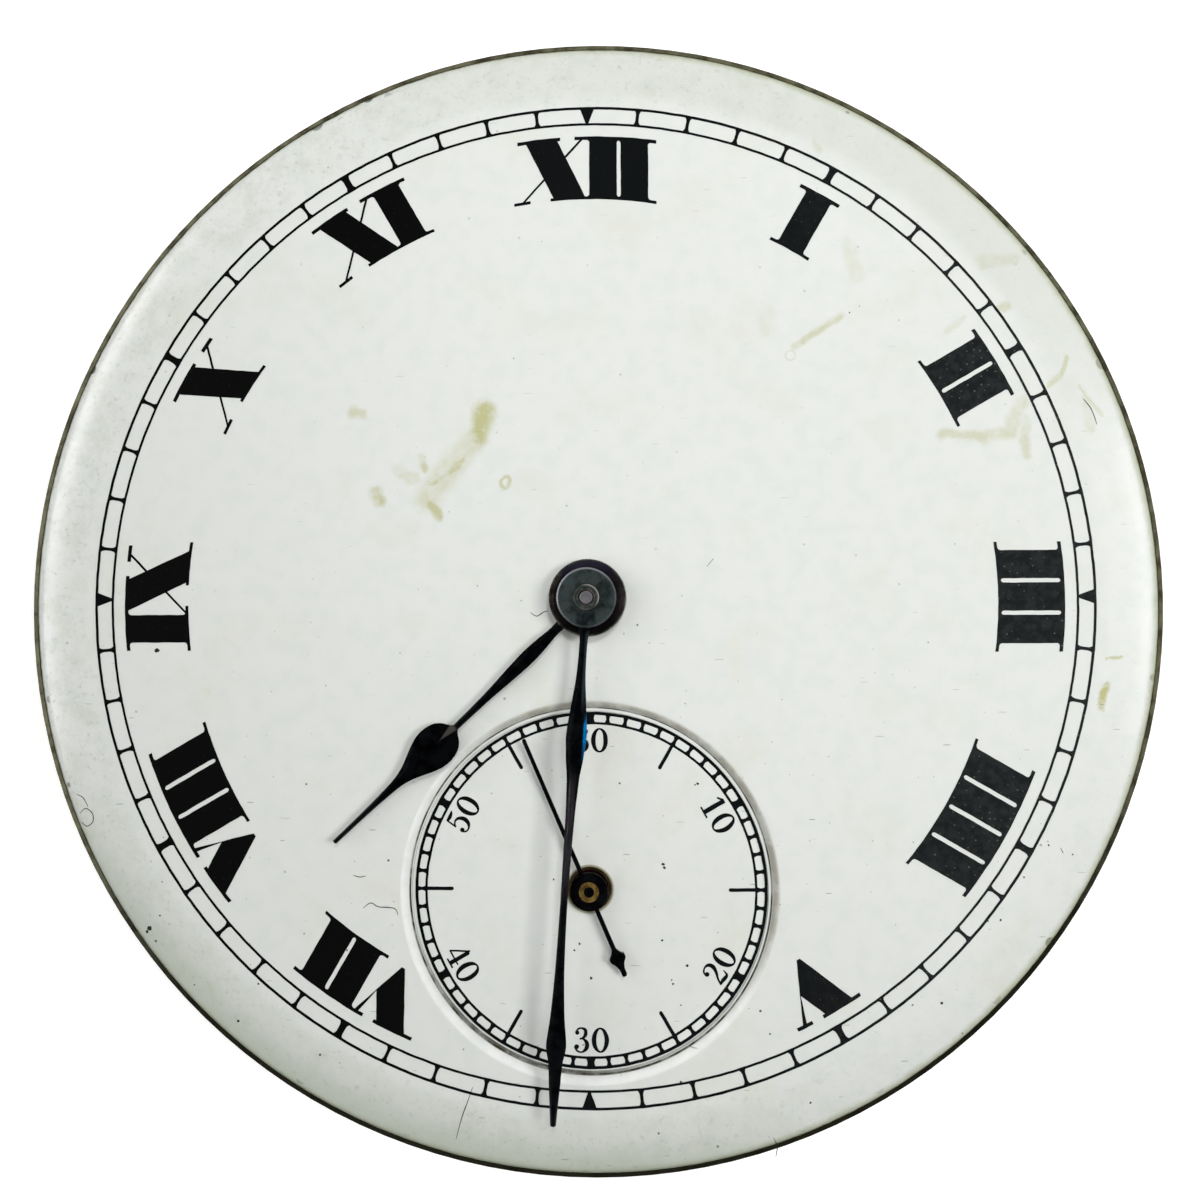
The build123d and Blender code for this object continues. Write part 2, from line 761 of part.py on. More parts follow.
washer_inner_radius = hour_wheel_hub_radius + washer_inner_gap
washer_outer_radius = centre_clear_radius - washer_outer_gap
washer_crown_z = hour_wheel_top_z + washer_bow
with BuildPart() as dial_washer:
    turn(
        (
            (washer_outer_radius, hour_wheel_top_z),
            (washer_outer_radius, hour_wheel_top_z + washer_thickness),
            (washer_inner_radius, washer_crown_z + washer_thickness),
            (washer_inner_radius, washer_crown_z),
        )
    )
dial_washer.part.label = "dial_washer"
export_step(dial_washer.part, "parts/dial_washer.step")

# Minute wheel, crossed out with arms, riveted on its pinion, on a stud
minute_root_radius = cannon_module * (minute_wheel_teeth / 2 - dedendum_share)
minute_rim_radius = minute_root_radius - minute_wheel_rim_width
minute_hub_radius = minute_pinion_hub_radius + minute_wheel_hub_width
minute_first_tooth = stud_angle + pi + pi / minute_wheel_teeth
arm_angles = [arm * 360 / minute_wheel_arms for arm in range(minute_wheel_arms)]
with BuildPart() as minute_wheel:
    with BuildSketch(stud_plane(minute_wheel_z)):
        with BuildLine():
            draw_teeth(minute_wheel_teeth, cannon_module, wheel_tooth_share, minute_first_tooth)
        make_face()
        Circle(minute_rim_radius, mode=Mode.SUBTRACT)
        Circle(minute_hub_radius)
        for angle in arm_angles:
            with Locations(Location((0, 0), angle)):
                Rectangle(
                    minute_rim_radius + minute_wheel_rim_width / 2,
                    minute_wheel_arm_width,
                    align=(Align.MIN, Align.CENTER),
                )
        Circle(minute_pinion_hub_radius + seat_fit, mode=Mode.SUBTRACT)
    extrude(amount=minute_wheel_thickness)
minute_wheel.part.label = "minute_wheel"
export_step(minute_wheel.part, "parts/minute_wheel.step")

with BuildPart() as minute_pinion:
    with BuildSketch(stud_plane(minute_leaf_z)):
        with BuildLine():
            draw_teeth(minute_pinion_leaves, hour_module, pinion_tooth_share, stud_angle + pi)
        make_face()
    extrude(amount=minute_pinion_leaf_length)
    with BuildSketch(stud_plane(minute_wheel_z - minute_pinion_hub_drop)):
        Circle(minute_pinion_hub_radius)
    extrude(amount=minute_pinion_hub_drop + minute_wheel_thickness)
    cut_hole(stud_radius + running_fit, plate_base_z, plate_top_z, [stud_point])
minute_pinion.part.label = "minute_pinion"
export_step(minute_pinion.part, "parts/minute_pinion.step")

with BuildPart() as minute_wheel_stud:
    with BuildSketch(stud_plane(motion_floor_z - stud_depth)):
        Circle(stud_radius)
    extrude(amount=stud_depth + stud_stand)
    chamfer(minute_wheel_stud.edges().group_by(Axis.Z)[-1], length=stud_radius / 3)
minute_wheel_stud.part.label = "minute_wheel_stud"
export_step(minute_wheel_stud.part, "parts/minute_wheel_stud.step")

# Seconds jewel in its setting, held in the plate by two screws
jewel_bore_radius = seconds_pivot_radius + jewel_fit
jewel_sink_z = jewel_base_z + jewel_oil_sink_depth
with BuildPart() as seconds_jewel:
    turn(
        (
            (jewel_bore_radius, jewel_sink_z),
            (jewel_oil_sink_radius, jewel_base_z),
            (jewel_radius, jewel_base_z),
            (jewel_radius, jewel_top_z),
            (jewel_bore_radius, jewel_top_z),
        ),
        seconds_point,
    )
seconds_jewel.part.label = "seconds_jewel"
export_step(seconds_jewel.part, "parts/seconds_jewel.step")

jewel_seat_radius = jewel_radius + seat_fit
with BuildPart() as seconds_jewel_setting:
    turn(
        (
            (setting_hole_radius, setting_base_z),
            (setting_radius, setting_base_z),
            (setting_radius, setting_top_z),
            (jewel_seat_radius, setting_top_z),
            (jewel_seat_radius, jewel_base_z),
            (setting_hole_radius, jewel_base_z),
        ),
        seconds_point,
    )
seconds_jewel_setting.part.label = "seconds_jewel_setting"
export_step(seconds_jewel_setting.part, "parts/seconds_jewel_setting.step")

with BuildPart() as jewel_setting_screws:
    with BuildSketch(seconds_plane(setting_top_z)):
        with Locations(*setting_screw_points):
            Circle(setting_screw_head_radius)
    extrude(amount=setting_screw_head_thickness)
    with BuildSketch(seconds_plane(setting_top_z - setting_screw_length)):
        with Locations(*setting_screw_points):
            Circle(setting_screw_radius)
    extrude(amount=setting_screw_length)
jewel_setting_screws.part.label = "jewel_setting_screws"
export_step(jewel_setting_screws.part, "parts/jewel_setting_screws.step")

# Seconds arbor with its long pivot, and the pipe that the hand is riveted to
seconds_shoulder_z = jewel_base_z - seconds_pivot_drop
seconds_end_top_z = seconds_arbor_foot_gap + seconds_arbor_end_length
seconds_tip_z = seconds_pipe_top_z - seconds_tip_drop
with BuildPart() as seconds_arbor:
    turn(
        (
            (0, seconds_arbor_foot_gap),
            (seconds_arbor_end_radius, seconds_arbor_foot_gap),
            (seconds_arbor_end_radius, seconds_end_top_z),
            (seconds_arbor_radius, seconds_end_top_z),
            (seconds_arbor_radius, seconds_shoulder_z),
            (seconds_pivot_radius, seconds_shoulder_z),
            (seconds_pivot_radius, seconds_tip_z),
            (0, seconds_tip_z),
        ),
        seconds_point,
    )
    fillet(seconds_arbor.edges().group_by(Axis.Z)[-1], radius=seconds_pivot_radius / 2)
seconds_arbor.part.label = "seconds_arbor"
export_step(seconds_arbor.part, "parts/seconds_arbor.step")

with BuildPart() as seconds_hand_pipe:
    with BuildSketch(seconds_plane(seconds_pipe_top_z - seconds_pipe_length)):
        Circle(seconds_pipe_radius)
        Circle(seconds_pivot_radius + seat_fit, mode=Mode.SUBTRACT)
    extrude(amount=seconds_pipe_length)
seconds_hand_pipe.part.label = "seconds_hand_pipe"
export_step(seconds_hand_pipe.part, "parts/seconds_hand_pipe.step")

# Hour hand: a swelling stem, a round-shouldered spade and a long point
hour_plane = hand_plane(hour_boss_z + hour_blade_lift, hour_clock_angle)
with BuildPart() as hour_hand:
    with BuildSketch(hour_plane):
        draw_blade(
            hour_boss_radius / 2,
            hour_root_share,
            hour_stem_shares,
            hour_head_shares,
            hour_hand_length,
            hour_head_width,
        )
    extrude(amount=hour_blade_thickness)
    chamfer(hour_hand.edges().group_by(Axis.Z)[-1], length=blade_bevel)
    with BuildSketch(Plane.XY.offset(hour_boss_z)):
        Circle(hour_boss_radius)
    extrude(amount=hour_boss_thickness)
    fillet(hour_hand.faces().sort_by(Axis.Z)[-1].edges(), radius=hand_edge_round)
    cut_hole(hour_tip_radius + seat_fit, hour_boss_z - cut_overrun, hour_boss_top_z + cut_overrun)
hour_hand.part.label = "hour_hand"
export_step(hour_hand.part, "parts/hour_hand.step")

# Minute hand: a long thin blade with two swellings, and a thick round boss
minute_plane = hand_plane(minute_boss_z + minute_blade_lift, minute_clock_angle)
with BuildPart() as minute_hand:
    with BuildSketch(minute_plane):
        draw_blade(
            minute_boss_radius / 2,
            minute_root_share,
            minute_stem_shares,
            minute_point_shares,
            minute_hand_length,
            minute_swell_width,
        )
    extrude(amount=minute_blade_thickness)
    chamfer(minute_hand.edges().group_by(Axis.Z)[-1], length=blade_bevel)
    with BuildSketch(Plane.XY.offset(minute_boss_z)):
        Circle(minute_boss_radius)
    extrude(amount=minute_boss_thickness)
    fillet(minute_hand.faces().sort_by(Axis.Z)[-1].edges(), radius=hand_edge_round)
    cut_hole(cannon_tip_radius + seat_fit, minute_boss_z - cut_overrun, cannon_top_z)
minute_hand.part.label = "minute_hand"
export_step(minute_hand.part, "parts/minute_hand.step")

# Seconds hand: a hub disc, a thin straight arm and a tail with a small
# hollow-sided diamond
arm_root_half = seconds_arm_width / 2
arm_tip_half = arm_root_half * seconds_arm_tip_share
tail_half = arm_root_half * seconds_tail_width_share
diamond_points = [
    (across * seconds_diamond_width, -along * seconds_tail_length)
    for along, across in seconds_diamond_shares
]
with BuildPart() as seconds_hand:
    with BuildSketch(hand_plane(seconds_hand_z, seconds_clock_angle, seconds_point)):
        with BuildLine():
            Polyline(
                (0, seconds_arm_length),
                (arm_tip_half, seconds_arm_length),
                (arm_root_half, 0),
                (tail_half, diamond_points[0][1]),
                diamond_points[0],
            )
            Spline(*diamond_points[:3])
            Spline(*diamond_points[2:])
            Polyline(
                diamond_points[-1],
                (tail_half, -seconds_tail_length),
                (0, -seconds_tail_length),
            )
            mirror(about=Plane.YZ)
        make_face()
        Circle(seconds_hub_radius)
        Circle(seconds_pipe_radius + seat_fit, mode=Mode.SUBTRACT)
    extrude(amount=seconds_hand_thickness)
seconds_hand.part.label = "seconds_hand"
export_step(seconds_hand.part, "parts/seconds_hand.step")
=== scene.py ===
import json
from functools import reduce
from math import acos, atan2, ceil, cos, degrees, hypot, pi, radians, sin, sqrt

import bmesh
import bpy
from mathutils import Euler, Matrix, Vector, noise
from mathutils.geometry import delaunay_2d_cdt


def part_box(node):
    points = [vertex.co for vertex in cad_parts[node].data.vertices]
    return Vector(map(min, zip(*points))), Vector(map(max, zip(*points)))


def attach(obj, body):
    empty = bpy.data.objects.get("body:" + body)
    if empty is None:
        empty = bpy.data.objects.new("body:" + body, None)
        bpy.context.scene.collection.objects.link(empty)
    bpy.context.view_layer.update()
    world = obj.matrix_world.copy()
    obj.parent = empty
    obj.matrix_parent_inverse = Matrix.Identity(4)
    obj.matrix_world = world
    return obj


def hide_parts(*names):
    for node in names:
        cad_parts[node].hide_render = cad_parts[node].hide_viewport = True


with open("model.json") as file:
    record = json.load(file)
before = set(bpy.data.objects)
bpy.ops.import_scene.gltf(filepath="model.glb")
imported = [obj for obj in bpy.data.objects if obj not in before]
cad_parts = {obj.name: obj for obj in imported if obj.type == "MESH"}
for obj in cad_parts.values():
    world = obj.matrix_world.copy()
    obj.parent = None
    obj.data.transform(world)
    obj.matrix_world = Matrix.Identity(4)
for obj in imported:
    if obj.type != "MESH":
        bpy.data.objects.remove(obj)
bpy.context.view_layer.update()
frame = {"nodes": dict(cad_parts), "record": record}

# Units: lengths are in millimetres until they reach a mesh, which is in metres
MM = 0.001

# Camera, as the photograph was taken
SENSOR_MM = 36.0
LENS_MM = 40.34
CAMERA_SHIFT = -0.05
CAMERA_PLACE = (2.652, -0.767, 58.348)
CAMERA_TURN_DEG = (3.3013, 2.4142, -0.1665)
CAMERA_CLIP_M = (0.001, 10)

# Light from all round: strong up to the first height over the horizon, weak past the second
FILL_HEIGHTS = (0.2, 0.5)
FILL_LOW = 0.6
FILL_HIGH = 0.07

# Floor: grey as a surface, and how white it glows to the camera near the dial and far off,
# between two distances in metres
FLOOR_HALF = 400
FLOOR_GREY = (0.62, 0.62, 0.62, 1)
FLOOR_GLOW_REACH = (0.06, 0.26)
FLOOR_GLOW = (0.68, 1.0)

# Sizes from the frame
def low(node):
    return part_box(node)[0] / MM


def high(node):
    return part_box(node)[1] / MM


FACE_Z = high("dial_enamel").z
COPPER_TOP_Z = FACE_Z - 0.42
DIAL_R = high("dial_copper").x
ENAMEL_R = high("dial_enamel").x
SECONDS_BOX = (low("seconds_dial_enamel"), high("seconds_dial_enamel"))
SECONDS_Y = (SECONDS_BOX[0].y + SECONDS_BOX[1].y) / 2
SECONDS_Z = SECONDS_BOX[1].z
SECONDS_BASE_Z = SECONDS_BOX[0].z
SECONDS_ENAMEL_R = SECONDS_BOX[1].x
SECONDS_CENTRE = (0.0, SECONDS_Y)
SECONDS_PRINT_CENTRE = (0.035, SECONDS_Y)
SHOULDER_CENTRE = (0.03, SECONDS_Y + 0.055)
DIAL_CENTRE = (0.0, 0.0)

# Dial
MARGIN_WIDTH = 2.3
MARGIN_FALL = 0.3
FLAT_R = DIAL_R - MARGIN_WIDTH
MARGIN_ARC = (MARGIN_WIDTH**2 + MARGIN_FALL**2) / (2 * MARGIN_FALL)
CENTRE_HOLE_R = 1.34
LAP_R = 6.99
LAP_CLEARANCE = 0.01
COPPER_CLEARANCE = 0.004
LIP_R = 6.89
LEDGE_WIDTH = 0.09
WALL_R = LIP_R + LEDGE_WIDTH
SHOULDER_WIDTH = 0.37
SHOULDER_DROP = 0.37
EDGE_ROUND_WIDTH = 0.22
EDGE_ROUND_DROP = 0.07
WAVE_HEIGHT = 0.006
WAVE_LENGTH = 7.0
FIELD_SPACING = 0.55
FIELD_BORDER = 0.35
RING_BORDER = 0.1
SECONDS_HOLE_R = 0.84

# Painted markings: ink stands a hair above the enamel and reaches into it
INK_RISE = 0.012
INK_SINK = 0.03
HAIR_WIDTH = 0.032
OUTLINE_STEP = 0.09
OUTLINE_WOBBLE = 0.011
OUTLINE_WOBBLE_LENGTH = 0.35
OUTER_BAR_R = 18.154
OUTER_BAR_WIDTH = 0.135
INNER_BAR_R = 15.761
INNER_BAR_WIDTH = 0.115
STEM_WIDTH = 1.08
STEM_GAP = 0.16
LETTER_GAP = 0.15
STEM_FLARE = 0.09
STEM_BEND = (0.3, 0.35)
ARC_STEP = 0.2
V_WIDTH = 2.17
V_THICK = 1.17
V_THIN = 0.165
V_FOOT_R = 15.85
V_JOIN_R = 17.08
X_WIDTH = 2.38
X_THICK = 1.24
X_THIN = 0.115
SERIF = 0.32
SERIF_INNER = 0.14

# Rails of the minute track and of the seconds track
MINUTE_RAILS = ((19.356, 0.1), (18.711, 0.09))
MINUTE_TICK = 0.125
HOUR_TICK = 0.26
TICK_FLARE = 0.08
TICK_FLARE_REACH = 2.2 * TICK_FLARE
TICK_BEND = (0.25, 0.5)
TRACK_TRIANGLE = 0.57
TRACK_TRIANGLE_TIP = 0.08
SECONDS_RAILS = ((6.773, 0.115), (6.396, 0.095))
SECONDS_TICK = 0.125
SECONDS_BOLD_TICK = 0.28
SECONDS_LONG_TICK = 0.135
SECONDS_LONG_TICK_R = 5.333
SECONDS_DIGIT_R = 5.73
SECONDS_DIGIT_HEIGHT = 0.95
SECONDS_DIGIT_PITCH = 0.72

# Hands
HOUR_ANGLE = 226.2
MINUTE_ANGLE = 183.8
SECONDS_ANGLE = 336.44
HOUR_BASE_Z = low("hour_hand").z
HOUR_TOP_Z = high("hour_hand").z
MINUTE_BASE_Z = low("minute_hand").z
MINUTE_TOP_Z = high("minute_hand").z
BLADE_LIFT = 0.07
BLADE_THICKNESS = 0.22
BLADE_EDGE = 0.09
BLADE_ROOT = 0.15
HOUR_BOSS_R = 1.5
HOUR_BORE_R = 0.93
HOUR_LENGTH = 13.43
HOUR_HEAD_WIDTH = 1.58
MINUTE_BOSS_R = 1.135
MINUTE_BORE_R = 0.507
MINUTE_LENGTH = 19.63
MINUTE_SWELL_WIDTH = 0.78
MINUTE_BOW = (0.125, 1.4)
HOUR_BOW = (-0.06, 0.8)
SECONDS_HAND_Z = low("seconds_hand").z
SECONDS_HAND_TOP_Z = high("seconds_hand").z
SECONDS_HUB_R = 0.73
SECONDS_BORE_R = 0.395
SECONDS_ARM = 6.35
SECONDS_ARM_WIDTH = 0.17
ARM_ROOT = 0.5
ARM_TAPER = 0.85
TAIL_TAPER = 0.96
HAND_BEVEL = 0.018
SECONDS_TAIL = 3.45
SECONDS_DIAMOND_WIDTH = 0.62

# How far out in shares of a hand's length, and the half width in shares of
# its widest width
HOUR_SHARES = (
    (0.05, 0.16), (0.1, 0.135), (0.125, 0.115), (0.15, 0.121), (0.18, 0.148), (0.235, 0.174),
    (0.3, 0.153), (0.39, 0.104), (0.46, 0.086), (0.515, 0.08), (0.529, 0.084), (0.537, 0.17),
    (0.548, 0.31), (0.567, 0.437), (0.6, 0.505), (0.63, 0.488), (0.66, 0.405), (0.689, 0.295),
    (0.719, 0.193), (0.749, 0.13), (0.8, 0.092), (0.9, 0.065), (1.0, 0.057),
)
MINUTE_SHARES = (
    (0.03, 0.3), (0.06, 0.27), (0.078, 0.205), (0.092, 0.19), (0.13, 0.2), (0.163, 0.245),
    (0.189, 0.315), (0.215, 0.385), (0.245, 0.465), (0.27, 0.5), (0.29, 0.462), (0.317, 0.405),
    (0.342, 0.318), (0.38, 0.262), (0.42, 0.222), (0.52, 0.184), (0.6, 0.174), (0.7, 0.212),
    (0.75, 0.264), (0.8, 0.346), (0.828, 0.425), (0.848, 0.48), (0.862, 0.46), (0.88, 0.36),
    (0.9, 0.31), (0.93, 0.265), (0.965, 0.195), (1.0, 0.14),
)
DIAMOND_SHARES = (
    (0.66, 0.14), (0.69, 0.165), (0.725, 0.27), (0.765, 0.47), (0.788, 0.5), (0.812, 0.48),
    (0.855, 0.298), (0.9, 0.19), (0.94, 0.156), (0.985, 0.15), (1.0, 0.11),
)


def polar(clock_angle, radius, centre=DIAL_CENTRE):
    """The point at a clock angle in degrees and a distance from a centre."""
    turn = radians(clock_angle)
    return (centre[0] + radius * sin(turn), centre[1] + radius * cos(turn))


def along(clock_angle, across, out, centre=DIAL_CENTRE):
    """The point at a distance clockwise of a radius, and out along it."""
    turn = radians(clock_angle)
    return (
        centre[0] + across * cos(turn) + out * sin(turn),
        centre[1] - across * sin(turn) + out * cos(turn),
    )


def read_table(table, share):
    """The value of a table at a share, on a smooth line through its points."""
    last = len(table) - 1
    if share <= table[0][0]:
        return table[0][1]
    for i in range(last):
        if share <= table[i + 1][0]:
            break
    x0, y0 = table[i]
    x1, y1 = table[i + 1]
    before = table[max(i - 1, 0)]
    after = table[min(i + 2, last)]
    slope0 = (y1 - before[1]) / (x1 - before[0])
    slope1 = (after[1] - y0) / (after[0] - x0)
    run = x1 - x0
    t = min((share - x0) / run, 1.0)
    h1 = t * t * (3 - 2 * t)
    value = y0 * (1 - h1) + y1 * h1
    value += run * slope0 * t * (1 - t) ** 2
    value += run * slope1 * t * t * (t - 1)
    return max(value, 0.0)


def finish_mesh(name, bm, sharp_deg=35.0):
    """Turn a bmesh in millimetres into an object in metres, smooth but for its sharp edges."""
    bmesh.ops.recalc_face_normals(bm, faces=bm.faces[:])
    mesh = bpy.data.meshes.new(name)
    bmesh.ops.scale(bm, vec=(MM, MM, MM), verts=bm.verts[:])
    bm.to_mesh(mesh)
    bm.free()
    mesh.shade_smooth()
    mesh.set_sharp_from_angle(angle=radians(sharp_deg))
    piece = bpy.data.objects.new(name, mesh)
    bpy.context.scene.collection.objects.link(piece)
    return piece


def dress(piece, body, material, replaced=()):
    """Give a piece its material, its body and the nodes that it stands for."""
    piece.data.materials.append(material)
    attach(piece, body)
    if replaced:
        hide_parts(*replaced)
    return piece


# Solids of revolution
def round_corners(profile, steps=5):
    """Replace each (radius, height, rounding) corner of a closed profile by an arc."""
    rounded = []
    count = len(profile)
    for i, (r, z, size) in enumerate(profile):
        corner = Vector((r, z))
        if size <= 0:
            rounded.append(corner)
            continue
        to_last = (Vector(profile[i - 1][:2]) - corner).normalized()
        to_next = (Vector(profile[(i + 1) % count][:2]) - corner).normalized()
        half = acos(max(-1.0, min(1.0, to_last.dot(to_next)))) / 2
        reach = size / max(half and sin(half) / cos(half), 1e-6)
        start = corner + to_last * reach
        end = corner + to_next * reach
        centre = corner + (to_last + to_next).normalized() * (size / sin(half))
        for step in range(steps + 1):
            t = step / steps
            chord = start.lerp(end, t) - centre
            rounded.append(centre + chord.normalized() * size)
    return rounded


def ring_points(radius, count, centre=DIAL_CENTRE):
    return [polar(360 * s / count, radius, centre) for s in range(count)]


def bridge(bm, inner, outer):
    """Four-sided faces between two rings of vertices."""
    count = len(inner)
    for s in range(count):
        t = (s + 1) % count
        bm.faces.new((inner[s], inner[t], outer[t], outer[s]))


def lathe(profile, centre=DIAL_CENTRE, segments=128):
    """Revolve a closed profile of (radius, height, rounding) corners into a bmesh."""
    bm = bmesh.new()
    rings = []
    for r, z in round_corners(profile):
        rings.append([bm.verts.new((x, y, z)) for x, y in ring_points(r, segments, centre)])
    for i, ring in enumerate(rings):
        bridge(bm, ring, rings[(i + 1) % len(rings)])
    return bm


# Enamel of the dial
def margin_drop(radius):
    """How far the curved margin has fallen at a radius."""
    run = max(radius - FLAT_R, 0.0)
    return MARGIN_ARC - sqrt(MARGIN_ARC**2 - run**2)


def enamel_height(x, y):
    """Height of the fired surface, with its margin, its rounded edge and its slight waves."""
    radius = hypot(x, y)
    z = FACE_Z - margin_drop(radius)
    edge = (radius - (ENAMEL_R - EDGE_ROUND_WIDTH)) / EDGE_ROUND_WIDTH
    if edge > 0:
        z -= EDGE_ROUND_DROP * edge * edge
    away = hypot(x - SHOULDER_CENTRE[0], y - SHOULDER_CENTRE[1]) - WALL_R
    if away < SHOULDER_WIDTH:
        rest = 1 - max(away, 0.0) / SHOULDER_WIDTH
        z -= SHOULDER_DROP * (1 - sqrt(max(1 - rest * rest, 0.0)))
    wave = noise.noise(Vector((x / WAVE_LENGTH, y / WAVE_LENGTH, 0.0)))
    return z - WAVE_HEIGHT * (0.5 + 0.5 * wave)


def enamel_foot(x, y):
    """Height of the enamel's back: on the copper, and lower where it laps the opening's edge."""
    if hypot(x, y - SECONDS_Y) < LAP_R:
        return SECONDS_Z + LAP_CLEARANCE
    return COPPER_TOP_Z + COPPER_CLEARANCE - margin_drop(hypot(x, y))


def add_rings(bm, radii, count, centre=DIAL_CENTRE, inner_centre=None):
    """Bands of four-sided faces between circles, the innermost about its own centre."""
    centres = [inner_centre or centre] + [centre] * (len(radii) - 1)
    circles = [ring_points(r, count, c) for r, c in zip(radii, centres)]
    rings = [[bm.verts.new((x, y, 0)) for x, y in circle] for circle in circles]
    for inner, outer in zip(rings, rings[1:]):
        bridge(bm, inner, outer)


def add_field(bm, loops, keep, spacing):
    """Fill between closed loops of points with even triangles."""
    points = []
    edges = []
    for loop in loops:
        start = len(points)
        points += [Vector(p) for p in loop]
        edges += [(start + i, start + (i + 1) % len(loop)) for i in range(len(loop))]
    reach = ceil(FLAT_R / spacing)
    row_height = spacing * sqrt(3) / 2
    for row in range(-2 * reach, 2 * reach):
        for column in range(-2 * reach, 2 * reach):
            x = (column + 0.5 * (row % 2)) * spacing
            y = row * row_height
            if keep(x, y, spacing * 0.6):
                points.append(Vector((x, y)))
    verts, _, triangles, _, _, _ = delaunay_2d_cdt(points, edges, [], 0, 1e-7)
    made = [bm.verts.new((v.x, v.y, 0)) for v in verts]
    for triangle in triangles:
        middle = sum((verts[i] for i in triangle), Vector((0, 0))) / len(triangle)
        if keep(middle.x, middle.y, 0):
            bm.faces.new([made[i] for i in triangle])


def make_dial_face(material):
    """The white glass of the dial: flat face, curved margin and a shoulder round the opening."""
    margin_count = 360
    opening_count = 216
    hole_count = 72
    field_r = FLAT_R - FIELD_BORDER
    opening_field_r = WALL_R + SHOULDER_WIDTH + RING_BORDER
    hole_field_r = CENTRE_HOLE_R + RING_BORDER
    shoulder_steps = 9
    margin_steps = 14

    def keep(x, y, clear):
        radius = hypot(x, y)
        away = hypot(x - SHOULDER_CENTRE[0], y - SHOULDER_CENTRE[1])
        inside = radius < field_r - clear
        return inside and radius > hole_field_r + clear and away > opening_field_r + clear

    bm = bmesh.new()
    loops = (
        ring_points(field_r, margin_count),
        ring_points(opening_field_r, opening_count, SHOULDER_CENTRE),
        ring_points(hole_field_r, hole_count),
    )
    add_field(bm, loops, keep, FIELD_SPACING)
    margin_step = (ENAMEL_R - FLAT_R) / margin_steps
    margin_radii = [field_r, FLAT_R - RING_BORDER]
    margin_radii += [FLAT_R + margin_step * i for i in range(margin_steps + 1)]
    add_rings(bm, margin_radii, margin_count)
    turns = [radians(90 * i / shoulder_steps) for i in range(shoulder_steps + 1)]
    shoulder_radii = [WALL_R + SHOULDER_WIDTH * (1 - cos(turn)) for turn in turns]
    shoulder_radii = [LIP_R] + shoulder_radii + [opening_field_r]
    add_rings(bm, shoulder_radii, opening_count, SHOULDER_CENTRE, SECONDS_CENTRE)
    add_rings(bm, [CENTRE_HOLE_R, hole_field_r], hole_count)
    bmesh.ops.remove_doubles(bm, verts=bm.verts[:], dist=1e-4)
    extruded = bmesh.ops.extrude_face_region(bm, geom=bm.faces[:])["geom"]
    upper = {v for v in extruded if isinstance(v, bmesh.types.BMVert)}
    for vert in bm.verts:
        x, y = vert.co.x, vert.co.y
        vert.co.z = enamel_height(x, y) if vert in upper else enamel_foot(x, y)
    piece = finish_mesh("dial_face", bm)
    return dress(piece, "plate", material, ["dial_enamel"])


def make_seconds_face(material):
    """The sunk seconds dial's white glass."""
    rings = 12
    step = (SECONDS_ENAMEL_R - SECONDS_HOLE_R) / rings
    top = [(SECONDS_HOLE_R + step * i, SECONDS_Z, 0) for i in range(1, rings)]
    profile = [(SECONDS_HOLE_R, SECONDS_BASE_Z, 0), (SECONDS_HOLE_R, SECONDS_Z, 0.05)]
    profile += top
    profile += [(SECONDS_ENAMEL_R, SECONDS_Z, 0.03), (SECONDS_ENAMEL_R, SECONDS_BASE_Z, 0)]
    piece = finish_mesh("seconds_face", lathe(profile, SECONDS_CENTRE, 216))
    return dress(piece, "plate", material, ["seconds_dial_enamel"])


# Painted markings
def wobble(x, y):
    """A small sideways shift of an inked edge, the same for all outlines at a place."""
    place = Vector((x, y, 0)) / OUTLINE_WOBBLE_LENGTH
    return noise.noise_vector(place) * OUTLINE_WOBBLE


def inked(outline):
    """An outline with its long sides divided and a hand-painted edge."""
    points = []
    count = len(outline)
    for i, start in enumerate(outline):
        a = Vector(start)
        b = Vector(outline[(i + 1) % count])
        parts = max(1, ceil((b - a).length / OUTLINE_STEP))
        for part in range(parts):
            p = a.lerp(b, part / parts)
            shift = wobble(p.x, p.y)
            points.append(Vector((p.x + shift.x, p.y + shift.y)))
    area = sum(p.cross(points[(i + 1) % len(points)]) for i, p in enumerate(points))
    return points if area > 0 else points[::-1]


def raised(name, outlines, low_z, high_z, hand_drawn=True):
    """One solid that covers all the outlines between two heights, with overlaps joined."""
    points = []
    faces = []
    for outline in outlines:
        shape = inked(outline) if hand_drawn else [Vector(p) for p in outline]
        faces.append(list(range(len(points), len(points) + len(shape))))
        points += shape
    verts, _, triangles, _, _, origins = delaunay_2d_cdt(points, [], faces, 1, 1e-6)
    bm = bmesh.new()
    made = [bm.verts.new((v.x, v.y, low_z)) for v in verts]
    for triangle, origin in zip(triangles, origins):
        if origin:
            bm.faces.new([made[i] for i in triangle])
    loose = [v for v in bm.verts if not v.link_faces]
    bmesh.ops.delete(bm, geom=loose, context="VERTS")
    extruded = bmesh.ops.extrude_face_region(bm, geom=bm.faces[:])["geom"]
    for part in extruded:
        if isinstance(part, bmesh.types.BMVert):
            part.co.z = high_z
    for vert in bm.verts:
        vert.co.z -= margin_drop(hypot(vert.co.x, vert.co.y))
    return finish_mesh(name, bm)


def on_arcs(angle, points):
    """Points of the dial, each from its distance beside a radius and the circle it lies on."""
    return [along(angle, x, sqrt(r * r - x * x)) for x, r in points]


def arc_bar(angle, left, right, radius, width):
    """A bar that follows a circle of the dial between two distances beside a radius."""
    steps = max(2, ceil((right - left) / ARC_STEP))
    across = [left + (right - left) * i / steps for i in range(steps + 1)]
    outer = [(x, radius + width / 2) for x in across]
    inner = [(x, radius - width / 2) for x in reversed(across)]
    return on_arcs(angle, outer + inner)


